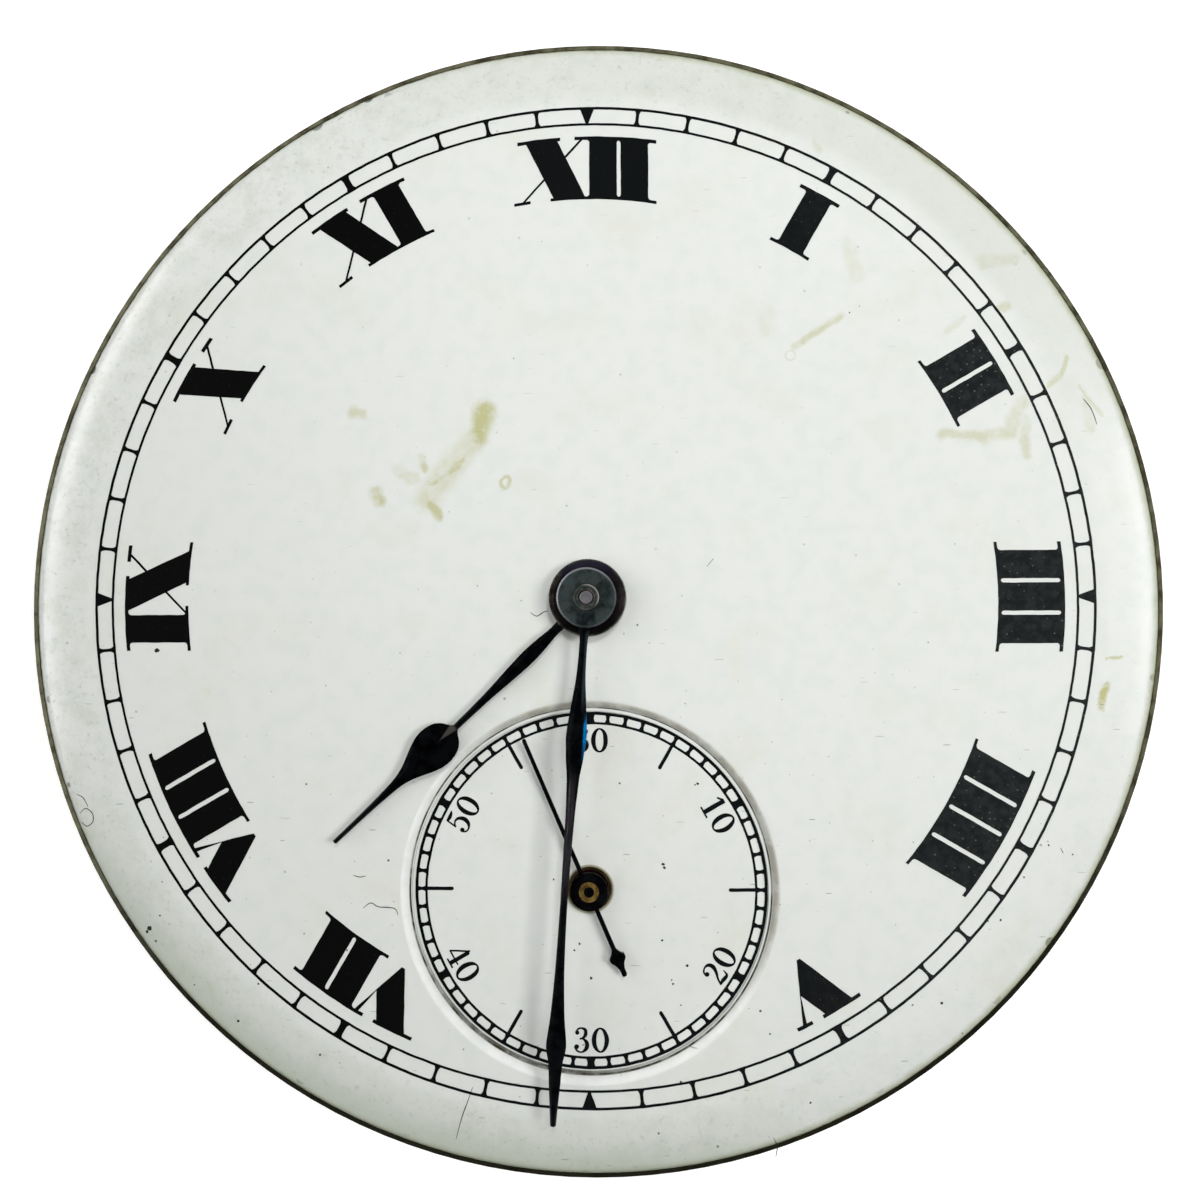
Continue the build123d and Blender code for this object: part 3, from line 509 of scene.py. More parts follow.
def flared_edge(x, side, top, foot, flare, reach, bend):
    """A long edge of a stroke, turned outward at both ends over a reach."""
    turns = ((flare, 0), (flare * bend[0], reach * bend[1]), (0, reach))
    edge = [(x + side * out, top - along_edge) for out, along_edge in turns]
    return edge + [(x + side * out, foot + along_edge) for out, along_edge in reversed(turns)]


def stem(angle, left, right):
    """An upright of a numeral, a little wider where it meets its bars."""
    top = OUTER_BAR_R - OUTER_BAR_WIDTH / 2
    foot = INNER_BAR_R + INNER_BAR_WIDTH / 2
    shape = []
    for side, edge in ((-1, left), (1, right)):
        flared = flared_edge(edge, side, top, foot, STEM_FLARE, STEM_FLARE, STEM_BEND)
        ends = [(edge, OUTER_BAR_R)] + flared + [(edge, INNER_BAR_R)]
        shape += ends[::-side]
    return on_arcs(angle, shape)


def slanted(angle, top_x, foot_x, width):
    """A straight stroke of a level width between the two bars."""
    half = width / 2
    top = [(top_x - half, OUTER_BAR_R), (top_x + half, OUTER_BAR_R)]
    foot = [(foot_x + half, INNER_BAR_R), (foot_x - half, INNER_BAR_R)]
    return on_arcs(angle, top + foot)


def v_outline(angle, x, foot, thin):
    """A V from its left edge, the middle of its foot and that of its thin stroke."""
    slope = (foot - x) / (OUTER_BAR_R - V_FOOT_R)
    join = x + V_THICK + slope * (OUTER_BAR_R - V_JOIN_R)
    corners = [(x, OUTER_BAR_R), (x + V_THICK, OUTER_BAR_R), (join, V_JOIN_R)]
    corners += [(thin - V_THIN / 2, OUTER_BAR_R), (thin + V_THIN / 2, OUTER_BAR_R)]
    corners += [(foot + V_THIN / 2, V_FOOT_R), (foot - V_THIN / 3, V_FOOT_R)]
    return on_arcs(angle, corners)


def numeral_outlines(angle, letters, v_foot_share, shift):
    """Outlines of a roman numeral whose foot points at the centre of the dial."""
    widths = {"I": STEM_WIDTH, "V": V_WIDTH, "X": X_WIDTH}
    pairs = zip(letters, letters[1:])
    gaps = [STEM_GAP if pair == ("I", "I") else LETTER_GAP for pair in pairs]
    x = shift - (sum(widths[letter] for letter in letters) + sum(gaps)) / 2
    outlines = []
    top_bars = []
    foot_bars = []
    for letter, gap in zip(letters, gaps + [0.0]):
        right = x + widths[letter]
        if letter == "I":
            outlines.append(stem(angle, x, right))
            top_bars.append((x - SERIF, right + SERIF))
            foot_bars.append((x - SERIF, right + SERIF))
        if letter == "V":
            thin = right - V_THIN / 2
            outlines.append(v_outline(angle, x, x + v_foot_share * V_WIDTH, thin))
            top_bars.append((x - SERIF, x + V_THICK + SERIF_INNER))
            top_bars.append((thin - SERIF, thin + SERIF))
        if letter == "X":
            half = X_THICK / 2
            thin = right - X_THIN
            thin_foot = x - X_THIN
            outlines.append(slanted(angle, x + half, right - half, X_THICK))
            outlines.append(slanted(angle, thin, thin_foot, X_THIN))
            top_bars.append((x - SERIF, x + X_THICK + SERIF_INNER))
            top_bars.append((thin - SERIF, thin + SERIF))
            foot_bars.append((thin_foot - SERIF, thin_foot + SERIF))
            foot_bars.append((right - X_THICK - SERIF_INNER, right + SERIF))
        x = right + gap
    outlines += [arc_bar(angle, a, b, OUTER_BAR_R, OUTER_BAR_WIDTH) for a, b in top_bars]
    outlines += [arc_bar(angle, a, b, INNER_BAR_R, INNER_BAR_WIDTH) for a, b in foot_bars]
    return outlines


HOUR_NUMERALS = (
    (0, "XII", 0.55, -0.02),
    (30, "I", 0.55, 0.045),
    (60, "II", 0.55, 0.0),
    (90, "III", 0.55, 0.0),
    (120, "IIII", 0.55, 0.0),
    (150, "V", 0.48, 0.02),
    (210, "VII", 0.59, 0.12),
    (240, "VIII", 0.65, 0.09),
    (270, "IX", 0.55, 0.115),
    (300, "X", 0.55, 0.09),
    (330, "XI", 0.55, -0.1),
)


def quads_between(near, far):
    """Four-sided outlines that fill the ring between two loops of points."""
    count = len(near)
    turns = [(s, (s + 1) % count) for s in range(count)]
    return [[near[s], far[s], far[t], near[t]] for s, t in turns]


def rail(radius, width, centre, count):
    """A painted circle, as a ring of short four-sided outlines."""
    inner = ring_points(radius - width / 2, count, centre)
    return quads_between(inner, ring_points(radius + width / 2, count, centre))


def tick(width, inner_r, outer_r):
    """A mark between two rails, wider where it runs into them."""
    side = flared_edge(width / 2, 1, outer_r, inner_r, TICK_FLARE, TICK_FLARE_REACH, TICK_BEND)
    return side + [(-x, r) for x, r in reversed(side)]


def paint(name, outlines, face_z, material):
    """Painted marks on a glass face, as one piece."""
    piece = raised(name, outlines, face_z - INK_SINK, face_z + INK_RISE)
    return dress(piece, "plate", material)


def make_track(name, rails, centre, segments, marks, face_z, material):
    """Two rails with sixty marks, whose shapes are given by the mark's number."""
    outlines = []
    for radius, width in rails:
        outlines += rail(radius, width, centre, segments)
    for number in range(60):
        for shape in marks(number):
            outlines.append([along(number * 6, x, r, centre) for x, r in shape])
    paint(name, outlines, face_z, material)


def make_minute_track(material):
    """Minutes: wider marks at the hours and triangles at the quarters."""
    (outer_r, outer_width), (inner_r, inner_width) = MINUTE_RAILS
    half = TRACK_TRIANGLE / 2
    tip = TRACK_TRIANGLE_TIP / 2
    triangle = [(-half, outer_r), (half, outer_r), (tip, inner_r), (-tip, inner_r)]
    edges = (inner_r + inner_width / 4, outer_r - outer_width / 4)

    def marks(minute):
        if minute % 15 == 0:
            return [triangle]
        return [tick(HOUR_TICK if minute % 5 == 0 else MINUTE_TICK, *edges)]

    make_track("minute_track", MINUTE_RAILS, DIAL_CENTRE, 360, marks, FACE_Z, material)


def make_hour_numerals(material):
    """Eleven roman numerals; the seconds dial stands in the place of the twelfth."""
    outlines = []
    for angle, letters, v_foot_share, shift in HOUR_NUMERALS:
        outlines += numeral_outlines(angle, letters, v_foot_share, shift)
    paint("hour_numerals", outlines, FACE_Z, material)


def make_seconds_track(material):
    """Seconds: bold marks at the tens and long ones at the fives."""
    outer_r, inner_r = SECONDS_RAILS[0][0], SECONDS_RAILS[1][0]
    half = SECONDS_LONG_TICK / 2
    end = SECONDS_LONG_TICK_R + half
    turns = [radians(a) for a in range(0, 181, 20)]
    tip = [(half * cos(turn), end - half * sin(turn)) for turn in turns]
    long_tick = [(half, inner_r)] + tip + [(-half, inner_r)]

    def marks(second):
        mark = tick(SECONDS_BOLD_TICK if second % 10 == 0 else SECONDS_TICK, inner_r, outer_r)
        return [mark, long_tick] if second % 10 == 5 else [mark]

    centre = SECONDS_PRINT_CENTRE
    make_track("seconds_track", SECONDS_RAILS, centre, 240, marks, SECONDS_Z, material)


def oval(x, y, half_width, half_height, count=28):
    turns = [2 * pi * i / count for i in range(count)]
    return [(x + half_width * cos(t), y + half_height * sin(t)) for t in turns]


def bar(left, right, top, foot):
    return [(left, top), (right, top), (right, foot), (left, foot)]


def oval_ring(x, y, outer, inner, count=28):
    """A ring between two ovals, thick at its sides and thin at top and foot."""
    return quads_between(oval(x, y, *inner, count), oval(x, y, *outer, count))


def pen(points, steps=6):
    """A stroke through (x, y, width) points on a smooth line, as one outline."""
    line = []
    last = len(points) - 1
    for i in range(last):
        a = Vector(points[max(i - 1, 0)])
        b = Vector(points[i])
        c = Vector(points[i + 1])
        d = Vector(points[min(i + 2, last)])
        for step in range(steps + (i == last - 1)):
            t = step / steps
            even = 2 * b + (c - a) * t + (2 * a - 5 * b + 4 * c - d) * t * t
            line.append((even + (3 * b - a - 3 * c + d) * t**3) / 2)
    left = []
    right = []
    for i, p in enumerate(line):
        heading = line[min(i + 1, len(line) - 1)] - line[max(i - 1, 0)]
        side = Vector((-heading.y, heading.x)).normalized() * p.z / 2
        left.append((p.x + side.x, p.y + side.y))
        right.append((p.x - side.x, p.y - side.y))
    return left + right[::-1]


# Numerals of the seconds dial in shares of their height, about their middle
DIGIT_SHAPES = {
    "0": oval_ring(0, 0, (0.35, 0.5), (0.165, 0.43)),
    "1": [
        bar(-0.09, 0.09, 0.5, -0.48),
        bar(-0.25, 0.25, -0.43, -0.5),
        pen([(-0.25, 0.3, 0.07), (-0.15, 0.38, 0.08), (-0.05, 0.47, 0.1)]),
    ],
    "2": [
        oval(-0.19, 0.26, 0.095, 0.095, 16),
        pen([(-0.26, 0.27, 0.06), (-0.17, 0.42, 0.07), (0.0, 0.475, 0.07), (0.16, 0.4, 0.13),
             (0.2, 0.22, 0.17), (0.08, 0.0, 0.12), (-0.12, -0.2, 0.08), (-0.27, -0.42, 0.07)]),
        pen([(-0.28, -0.4, 0.07), (-0.12, -0.4, 0.13), (0.06, -0.44, 0.15), (0.2, -0.43, 0.1),
             (0.29, -0.22, 0.03)]),
    ],
    "3": [
        oval(-0.18, 0.29, 0.085, 0.085, 16),
        pen([(-0.24, 0.31, 0.06), (-0.14, 0.44, 0.07), (0.0, 0.475, 0.07), (0.15, 0.39, 0.13),
             (0.15, 0.18, 0.14), (0.02, 0.06, 0.07), (-0.08, 0.04, 0.06)]),
        pen([(-0.06, 0.05, 0.06), (0.08, 0.03, 0.08), (0.21, -0.12, 0.16), (0.19, -0.33, 0.16),
             (0.02, -0.475, 0.07), (-0.17, -0.44, 0.07), (-0.28, -0.28, 0.06)]),
        oval(-0.2, -0.27, 0.095, 0.095, 16),
    ],
    "4": [
        pen([(0.1, 0.5, 0.07), (-0.12, 0.14, 0.07), (-0.33, -0.2, 0.07)]),
        bar(-0.35, 0.33, -0.17, -0.235),
        [(0.03, 0.5), (0.2, 0.42), (0.2, -0.48), (0.03, -0.48)],
        bar(-0.1, 0.33, -0.435, -0.5),
    ],
    "5": [
        pen([(-0.2, 0.44, 0.07), (-0.04, 0.42, 0.14), (0.12, 0.44, 0.12), (0.24, 0.5, 0.03)]),
        [(-0.21, 0.46), (-0.15, 0.46), (-0.18, 0.0), (-0.25, 0.0)],
        pen([(-0.22, 0.04, 0.06), (-0.06, 0.15, 0.07), (0.12, 0.1, 0.12), (0.22, -0.12, 0.17),
             (0.16, -0.36, 0.14), (0.0, -0.475, 0.07), (-0.17, -0.44, 0.07), (-0.27, -0.29, 0.06)]),
        oval(-0.2, -0.28, 0.09, 0.09, 16),
    ],
    "6": oval_ring(0.01, -0.19, (0.31, 0.31), (0.13, 0.265)) + [
        pen([(-0.22, -0.2, 0.16), (-0.2, 0.08, 0.15), (-0.1, 0.33, 0.1), (0.06, 0.475, 0.07),
             (0.2, 0.44, 0.065), (0.27, 0.34, 0.06)]),
        oval(0.2, 0.33, 0.08, 0.08, 16),
    ],
}


def make_seconds_numerals(material):
    """10 to 60 round the seconds dial, the lower three with their feet outward."""
    outlines = []
    for tens in range(1, 7):
        flip = 1 if tens in (6, 1, 5) else -1
        for place, digit in enumerate(f"{tens}0"):
            shift = (place - 0.5) * SECONDS_DIGIT_PITCH
            for outline in DIGIT_SHAPES[digit]:
                shape = []
                for x, y in outline:
                    across = flip * (x * SECONDS_DIGIT_HEIGHT + shift)
                    out = SECONDS_DIGIT_R + flip * y * SECONDS_DIGIT_HEIGHT
                    shape.append(along(tens * 60, across, out, SECONDS_PRINT_CENTRE))
                outlines.append(shape)
    paint("seconds_numerals", outlines, SECONDS_Z, material)


# Dark specks in the glass: place and half size
SPECKS = (
    (2.85, -10.3, 0.09), (2.9, -10.43, 0.07), (2.8, -13.2, 0.06), (3.75, -14.15, 0.07),
    (3.2, -14.85, 0.06), (3.15, -14.7, 0.04), (0.05, -14.65, 0.07), (-0.4, -13.35, 0.06),
    (-0.6, -13.6, 0.05), (3.5, -15.65, 0.04), (-1.4, -10.9, 0.05), (4.2, -7.2, 0.06),
    (4.1, -7.25, 0.04), (1.9, -1.05, 0.05), (-16.9, -2.0, 0.12), (-17.1, -12.75, 0.13),
    (-17.2, -12.9, 0.09), (-16.65, -12.25, 0.05), (-13.55, -16.25, 0.07),
    (-12.75, -14.8, 0.05), (-15.3, -14.9, 0.04), (8.35, -19.05, 0.05), (6.85, -16.5, 0.05),
    (13.3, -15.3, 0.07), (17.4, -9.4, 0.05), (18.3, -9.75, 0.05), (16.45, -10.6, 0.05),
    (15.55, -12.2, 0.06), (-2.9, 9.4, 0.03), (10.2, 11.05, 0.04), (10.6, 11.3, 0.03),
)

# Hair cracks and scratches: the points that they run through
HAIRS = (
    ((-1.55, -0.5), (-1.75, -0.55), (-2.0, -0.7), (-2.25, -0.55)),
    (
        (-19.95, -8.35), (-19.7, -8.15), (-19.42, -8.35),
        (-19.4, -8.65), (-19.65, -8.85), (-19.9, -8.7),
    ),
    ((-20.1, -7.6), (-19.8, -7.75), (-19.6, -8.1)),
    ((-9.1, -10.65), (-8.85, -10.72), (-8.6, -10.68)),
    ((-8.7, -11.9), (-8.4, -11.7), (-8.1, -11.85), (-7.5, -11.9), (-7.35, -12.15)),
    ((-4.45, -18.6), (-4.7, -19.3), (-4.85, -19.7), (-5.1, -20.6)),
    ((6.95, -20.4), (7.1, -20.75), (7.05, -21.2)),
    ((17.85, -9.5), (17.95, -9.7)),
    ((19.1, 7.6), (19.4, 7.2), (19.6, 6.6)),
    ((4.6, 1.2), (4.85, 1.5)),
)


def make_specks(material):
    """Specks, pits and hair cracks, each a hair above the glass and reaching into it."""
    outlines = []
    sunk = []
    corners = 9
    for x, y, size in SPECKS:
        shape = []
        for corner in range(corners):
            turn = 2 * pi * corner / corners
            reach = size * (0.75 + 0.5 * noise.noise(Vector((x + corner, y, size * 30))))
            shape.append((x + reach * cos(turn), y + reach * sin(turn)))
        inside = hypot(x, y - SECONDS_Y) < SECONDS_RAILS[1][0]
        (sunk if inside else outlines).append(shape)
    for line in HAIRS:
        widths = [HAIR_WIDTH / 2] + [HAIR_WIDTH] * (len(line) - 2) + [HAIR_WIDTH / 2]
        outlines.append(pen([(x, y, width) for (x, y), width in zip(line, widths)], 4))
    pieces = (("dial_specks", outlines, FACE_Z), ("seconds_specks", sunk, SECONDS_Z))
    for name, shapes, face_z in pieces:
        piece = raised(name, shapes, face_z - INK_SINK, face_z + INK_RISE / 2, hand_drawn=False)
        dress(piece, "plate", material)


# Hands
def blade(table, length, width, angle, base_z, bow, step=0.12):
    """A crowned blade: flat below, arched above and thin at its edges."""
    columns = 10
    start = table[0][0] * length
    count = ceil((length - start) / step)
    bm = bmesh.new()
    rows = []
    for i in range(count + 1):
        out = start + (length - start) * i / count
        half = width * read_table(table, out / length)
        sway = bow[0] * sin(pi * (out / length) ** bow[1])
        upper = []
        lower = []
        for c in range(columns + 1):
            across = 2 * c / columns - 1
            x, y = along(angle, half * across + sway, out)
            rise = BLADE_EDGE + (BLADE_THICKNESS - BLADE_EDGE) * (1 - across * across)
            upper.append(bm.verts.new((x, y, base_z + rise)))
            lower.append(bm.verts.new((x, y, base_z)))
        rows.append(upper + lower[::-1])
    for row, following in zip(rows, rows[1:]):
        bridge(bm, row, following)
    bm.faces.new(rows[0])
    bm.faces.new(rows[-1])
    return bm


def unite(name, parts):
    """Join overlapping solids into one clean piece."""
    first = parts[0]
    for other in parts[1:]:
        union = first.modifiers.new("union", "BOOLEAN")
        union.operation = "UNION"
        union.solver = "EXACT"
        union.object = other
    bpy.context.view_layer.update()
    seen = bpy.context.evaluated_depsgraph_get()
    mesh = bpy.data.meshes.new_from_object(first.evaluated_get(seen))
    mesh.shade_smooth()
    mesh.set_sharp_from_angle(angle=radians(30))
    piece = bpy.data.objects.new(name, mesh)
    bpy.context.scene.collection.objects.link(piece)
    for part in parts:
        bpy.data.objects.remove(part)
    return piece


def make_hand(body, boss, steel, material):
    """A hand in one piece, from the profile of its boss and its blade."""
    parts = [finish_mesh(f"{body}_boss", lathe(boss)), finish_mesh(f"{body}_blade", steel)]
    piece = unite(f"{body}_hand_steel", parts)
    dress(piece, body, material, [f"{body}_hand"])


def make_hour_hand(material):
    """The spade hand; its blade starts clear of the boss's bore."""
    boss = (
        (HOUR_BORE_R, HOUR_BASE_Z, 0),
        (HOUR_BORE_R, HOUR_TOP_Z, 0.02),
        (HOUR_BOSS_R - 0.22, HOUR_TOP_Z, 0.1),
        (HOUR_BOSS_R - 0.03, HOUR_TOP_Z - 0.1, 0.06),
        (HOUR_BOSS_R, HOUR_BASE_Z, 0.02),
    )
    base_z = HOUR_BASE_Z + BLADE_LIFT
    steel = blade(HOUR_SHARES, HOUR_LENGTH, HOUR_HEAD_WIDTH, HOUR_ANGLE, base_z, HOUR_BOW, 0.07)
    inner = HOUR_BORE_R + BLADE_ROOT
    for vert in steel.verts:
        reach = hypot(vert.co.x, vert.co.y)
        if reach < inner:
            vert.co.x *= inner / reach
            vert.co.y *= inner / reach
    make_hand("hour", boss, steel, material)


def make_minute_hand(material):
    """The long hand with its two swellings, on a thick boss."""
    boss = (
        (MINUTE_BORE_R, MINUTE_BASE_Z, 0),
        (MINUTE_BORE_R, MINUTE_TOP_Z, 0.02),
        (MINUTE_BOSS_R, MINUTE_TOP_Z, 0.06),
        (MINUTE_BOSS_R, MINUTE_BASE_Z, 0.02),
    )
    base_z = MINUTE_BASE_Z + BLADE_LIFT
    size = (MINUTE_LENGTH, MINUTE_SWELL_WIDTH, MINUTE_ANGLE)
    make_hand("minute", boss, blade(MINUTE_SHARES, *size, base_z, MINUTE_BOW), material)


def make_seconds_hand(material):
    """A hub disc with a thin arm and a tail that carries a small diamond."""
    half = SECONDS_ARM_WIDTH / 2
    tip = half * ARM_TAPER
    turns = [radians(a) for a in range(180, -1, -30)]
    arm = [(tip * cos(turn), SECONDS_ARM - tip + tip * sin(turn)) for turn in turns]
    arm = [(-half, ARM_ROOT)] + arm + [(half, ARM_ROOT)]
    steps = 40
    start = DIAMOND_SHARES[0][0]
    tail = [(half * TAIL_TAPER, -ARM_ROOT)]
    for i in range(steps + 1):
        share = start + (1 - start) * i / steps
        width = SECONDS_DIAMOND_WIDTH * read_table(DIAMOND_SHARES, share)
        tail.append((width, -share * SECONDS_TAIL))
    tail += [(-x, y) for x, y in reversed(tail)]
    shapes = (arm, tail)
    outlines = [[along(SECONDS_ANGLE, x, y, SECONDS_CENTRE) for x, y in shape] for shape in shapes]
    middle = (SECONDS_HUB_R + SECONDS_BORE_R) / 2
    outlines += rail(middle, SECONDS_HUB_R - SECONDS_BORE_R, SECONDS_CENTRE, 96)
    heights = (SECONDS_HAND_Z, SECONDS_HAND_TOP_Z)
    piece = raised("seconds_hand_steel", outlines, *heights, hand_drawn=False)
    bevel = piece.modifiers.new("edge", "BEVEL")
    bevel.width = HAND_BEVEL * MM
    bevel.segments = 2
    bevel.limit_method = "ANGLE"
    bevel.angle_limit = radians(50)
    dress(piece, "seconds", material, ["seconds_hand"])


# Materials
def linear(shade):
    """A linear colour from the shade that is wanted on screen, 0 to 255."""
    shares = [v / 255 for v in shade]
    return [v / 12.92 if v <= 0.04045 else ((v + 0.055) / 1.055) ** 2.4 for v in shares]


def is_socket(value):
    return isinstance(value, bpy.types.NodeSocket)


class Graph:
    """A node tree under construction, with short calls for its nodes."""

    def __init__(self, owner):
        owner.use_nodes = True
        self.tree = owner.node_tree
        self.tree.nodes.clear()

    def put(self, target, value):
        """Set a socket to a constant or link it to an output."""
        if is_socket(value):
            self.tree.links.new(value, target)
        else:
            target.default_value = value

    def node(self, kind, inputs=None, **settings):
        """A new node, its inputs given by their names or numbers."""
        made = self.tree.nodes.new("ShaderNode" + kind)
        for key, value in settings.items():
            setattr(made, key, value)
        for key, value in (inputs or {}).items():
            self.put(made.inputs[key], value)
        return made

    def math(self, operation, *values):
        return self.node("Math", dict(enumerate(values)), operation=operation).outputs[0]

    def times(self, *factors):
        return reduce(lambda a, b: self.math("MULTIPLY", a, b), factors)

    def most(self, *values):
        return reduce(lambda a, b: self.math("MAXIMUM", a, b), values)

    def noise(self, scale, detail=3.0, roughness=0.5, place=None, output="Fac"):
        place = place or self.place
        inputs = {"Vector": place, "Scale": scale, "Detail": detail, "Roughness": roughness}
        return self.node("TexNoise", inputs).outputs[output]

    def warped(self, scale, reach):
        """The place, pushed about in the plane of the dial by noise."""
        drift = self.noise(scale, 4.0, output="Color")
        centred = self.node("VectorMath", {0: drift, 1: (0.5, 0.5, 0.5)}, operation="SUBTRACT")
        inputs = {0: centred.outputs[0], 1: (reach, reach, 0), 2: self.place}
        return self.node("VectorMath", inputs, operation="MULTIPLY_ADD").outputs[0]

    def mapped(self, place, scale=(1, 1, 1), turn_deg=0.0, shift=(0, 0, 0)):
        turn = (0, 0, radians(turn_deg))
        inputs = {"Vector": place, "Scale": scale, "Rotation": turn, "Location": shift}
        return self.node("Mapping", inputs).outputs[0]

    def axis(self, place, letter):
        return self.node("SeparateXYZ", {0: place}).outputs[letter]

    def toward(self, clock_angle):
        """How far a place lies from the dial's centre toward a clock angle."""
        return self.axis(self.mapped(self.place, turn_deg=clock_angle), "Y")

    def ramp(self, value, start, end, low_value=0.0, high_value=1.0):
        """From one value before the start to another past the end, on a soft line."""
        if start > end:
            start, end, low_value, high_value = end, start, high_value, low_value
        limits = {"From Min": start, "From Max": end, "To Min": low_value, "To Max": high_value}
        settings = {"clamp": True, "interpolation_type": "SMOOTHSTEP"}
        return self.node("MapRange", {"Value": value, **limits}, **settings).outputs["Result"]

    def step(self, value, at, start, end, *levels):
        """A ramp whose start and end are given from a radius."""
        return self.ramp(value, at + start, at + end, *levels)

    def patches(self, grain, *limits):
        """A ramp over noise: its scale, detail and roughness, then the ramp's limits."""
        return self.ramp(self.noise(*grain), *limits)

    def band(self, value, start, full, fade, end):
        """1 between two values, falling to 0 on both sides."""
        return self.times(self.ramp(value, start, full), self.ramp(value, end, fade))

    def ring(self, value, radius, *offsets):
        """A band whose four limits are given from a radius."""
        return self.band(value, *(radius + offset for offset in offsets))

    def mix(self, share, a, b):
        """From one colour to another, each an output or a shade of 0 to 255."""
        a, b = (v if is_socket(v) else (*linear(v), 1.0) for v in (a, b))
        return self.node("Mix", {0: share, 6: a, 7: b}, data_type="RGBA").outputs[2]

    def bump(self, height, distance_mm, strength=0.5):
        inputs = {"Height": height, "Distance": distance_mm * MM, "Strength": strength}
        return self.node("Bump", inputs).outputs["Normal"]

    def length(self, place):
        return self.node("VectorMath", {0: place}, operation="LENGTH").outputs["Value"]

    def distance(self, place, point=DIAL_CENTRE):
        """How far a place lies from a point of the dial, seen from the front."""
        return self.length(self.mapped(place, (1, 1, 0), shift=(-point[0], -point[1], 0)))

    def streak_distance(self, place, start, end):
        """How far a place lies from a straight streak between two points."""
        run = Vector(end) - Vector(start)
        turn = degrees(atan2(run.y, run.x))
        turned = Vector(start)
        turned.rotate(Matrix.Rotation(-radians(turn), 2))
        local = self.mapped(place, (1, 1, 0), -turn, (-turned.x, -turned.y, 0))
        beyond = self.math("SUBTRACT", self.axis(local, "X"), run.length / 2)
        past = self.math("SUBTRACT", self.math("ABSOLUTE", beyond), run.length / 2)
        past = self.most(past, 0.0)
        side = self.axis(local, "Y")
        return self.math("SQRT", self.math("ADD", self.times(past, past), self.times(side, side)))

    def specks(self, cell, size, share, seed, stretch=(1, 1, 1), turn_deg=0.0):
        """Scattered small marks: up to 1 inside a mark and 0 elsewhere."""
        place = self.mapped(self.place, stretch, turn_deg, (seed * 7.3, seed * 3.1, 0))
        inputs = {"Vector": place, "Scale": 1 / cell}
        cells = self.node("TexVoronoi", inputs, voronoi_dimensions="2D").outputs
        draws = self.node("SeparateColor", {0: cells["Color"]}).outputs
        reach = self.times(cells["Distance"], cell)
        limit = self.math("MULTIPLY_ADD", draws[0], size, size * 0.35)
        mark = self.ramp(self.math("SUBTRACT", limit, reach), 0.0, size * 0.3)
        chosen = self.math("LESS_THAN", draws[1], share)
        strength = self.math("MULTIPLY_ADD", draws[2], 0.7, 0.3)
        return self.times(mark, chosen, strength)


class Shade(Graph):
    """A material's graph, whose base colour is built up in coats."""

    def __init__(self, name):
        self.material = bpy.data.materials.new(name)
        super().__init__(self.material)
        self.surface = self.node("BsdfPrincipled")
        self.node("OutputMaterial", {"Surface": self.surface.outputs["BSDF"]})
        place = self.node("TexCoord").outputs["Object"]
        scaled = self.node("VectorMath", {0: place, "Scale": 1 / MM}, operation="SCALE")
        self.place = scaled.outputs[0]
        self.base = None

    def coat(self, shade, *masks):
        """Lay a colour over the base, as strong as the product of the masks."""
        self.base = self.mix(self.times(*masks), self.base, shade)

    def finish(self, **sockets):
        """The material, with its base colour and its other sockets set."""
        self.put(self.surface.inputs["Base Color"], self.base)
        for key, value in sockets.items():
            self.put(self.surface.inputs[key], value)
        return self.material

    def finish_metal(self, patches, gloss, grain, bump_mm, strength=0.5, metallic=1.0):
        """The material, its roughness between two limits by its patches, with a fine grain."""
        rough = self.ramp(patches, 0, 1, *gloss)
        normal = self.bump(self.noise(*grain), bump_mm, strength)
        return self.finish(Roughness=rough, Normal=normal, Metallic=metallic)


# Stains of the dial: two ends, half width and strength
STAINS = (
    ((-4.05, 7.35), (-4.25, 6.3), 0.42, 0.75), ((-4.4, 6.2), (-5.7, 4.8), 0.48, 0.34),
    ((-4.9, 5.4), (-6.1, 4.4), 0.12, 0.6), ((-5.7, 4.7), (-6.3, 3.8), 0.52, 0.34),
    ((-6.2, 3.6), (-5.9, 3.2), 0.2, 0.65), ((-6.5, 5.2), (-6.4, 5.1), 0.2, 0.5),
    ((-8.35, 4.15), (-8.15, 3.85), 0.24, 0.6), ((-9.2, 7.35), (-8.8, 7.2), 0.2, 0.4),
    ((-6.5, 5.5), (-6.4, 5.0), 0.14, 0.4), ((-7.4, 5.0), (-6.8, 4.6), 0.25, 0.3),
    ((13.7, 6.2), (15.4, 6.2), 0.22, 0.4), ((15.4, 6.2), (16.3, 6.3), 0.3, 0.35),
    ((16.3, 6.3), (16.7, 7.4), 0.3, 0.32), ((16.9, 6.0), (16.9, 5.4), 0.16, 0.35),
    ((8.1, 9.8), (9.9, 11.0), 0.16, 0.45), ((15.3, 13.0), (16.6, 13.1), 0.26, 0.42),
    ((16.1, 11.2), (16.2, 11.3), 0.2, 0.5), ((19.6, -3.3), (19.5, -4.2), 0.15, 1.0),
    ((19.8, -2.4), (20.3, -2.3), 0.07, 0.6), ((18.5, 9.2), (18.3, 8.6), 0.12, 0.55),
    ((18.3, 8.6), (17.8, 8.1), 0.12, 0.4), ((19.0, 8.0), (19.8, 7.0), 0.09, 0.4),
    ((16.9, 6.8), (16.8, 6.0), 0.2, 0.35), ((10.2, 13.7), (10.5, 12.6), 0.3, 0.2),
    ((8.95, 17.85), (9.1, 17.5), 0.12, 0.4), ((13.9, 10.3), (14.6, 10.8), 0.12, 0.25),
    ((19.2, 7.6), (19.35, 6.5), 0.22, 0.25), ((7.0, 11.0), (7.0, 10.5), 0.4, 0.14),
)
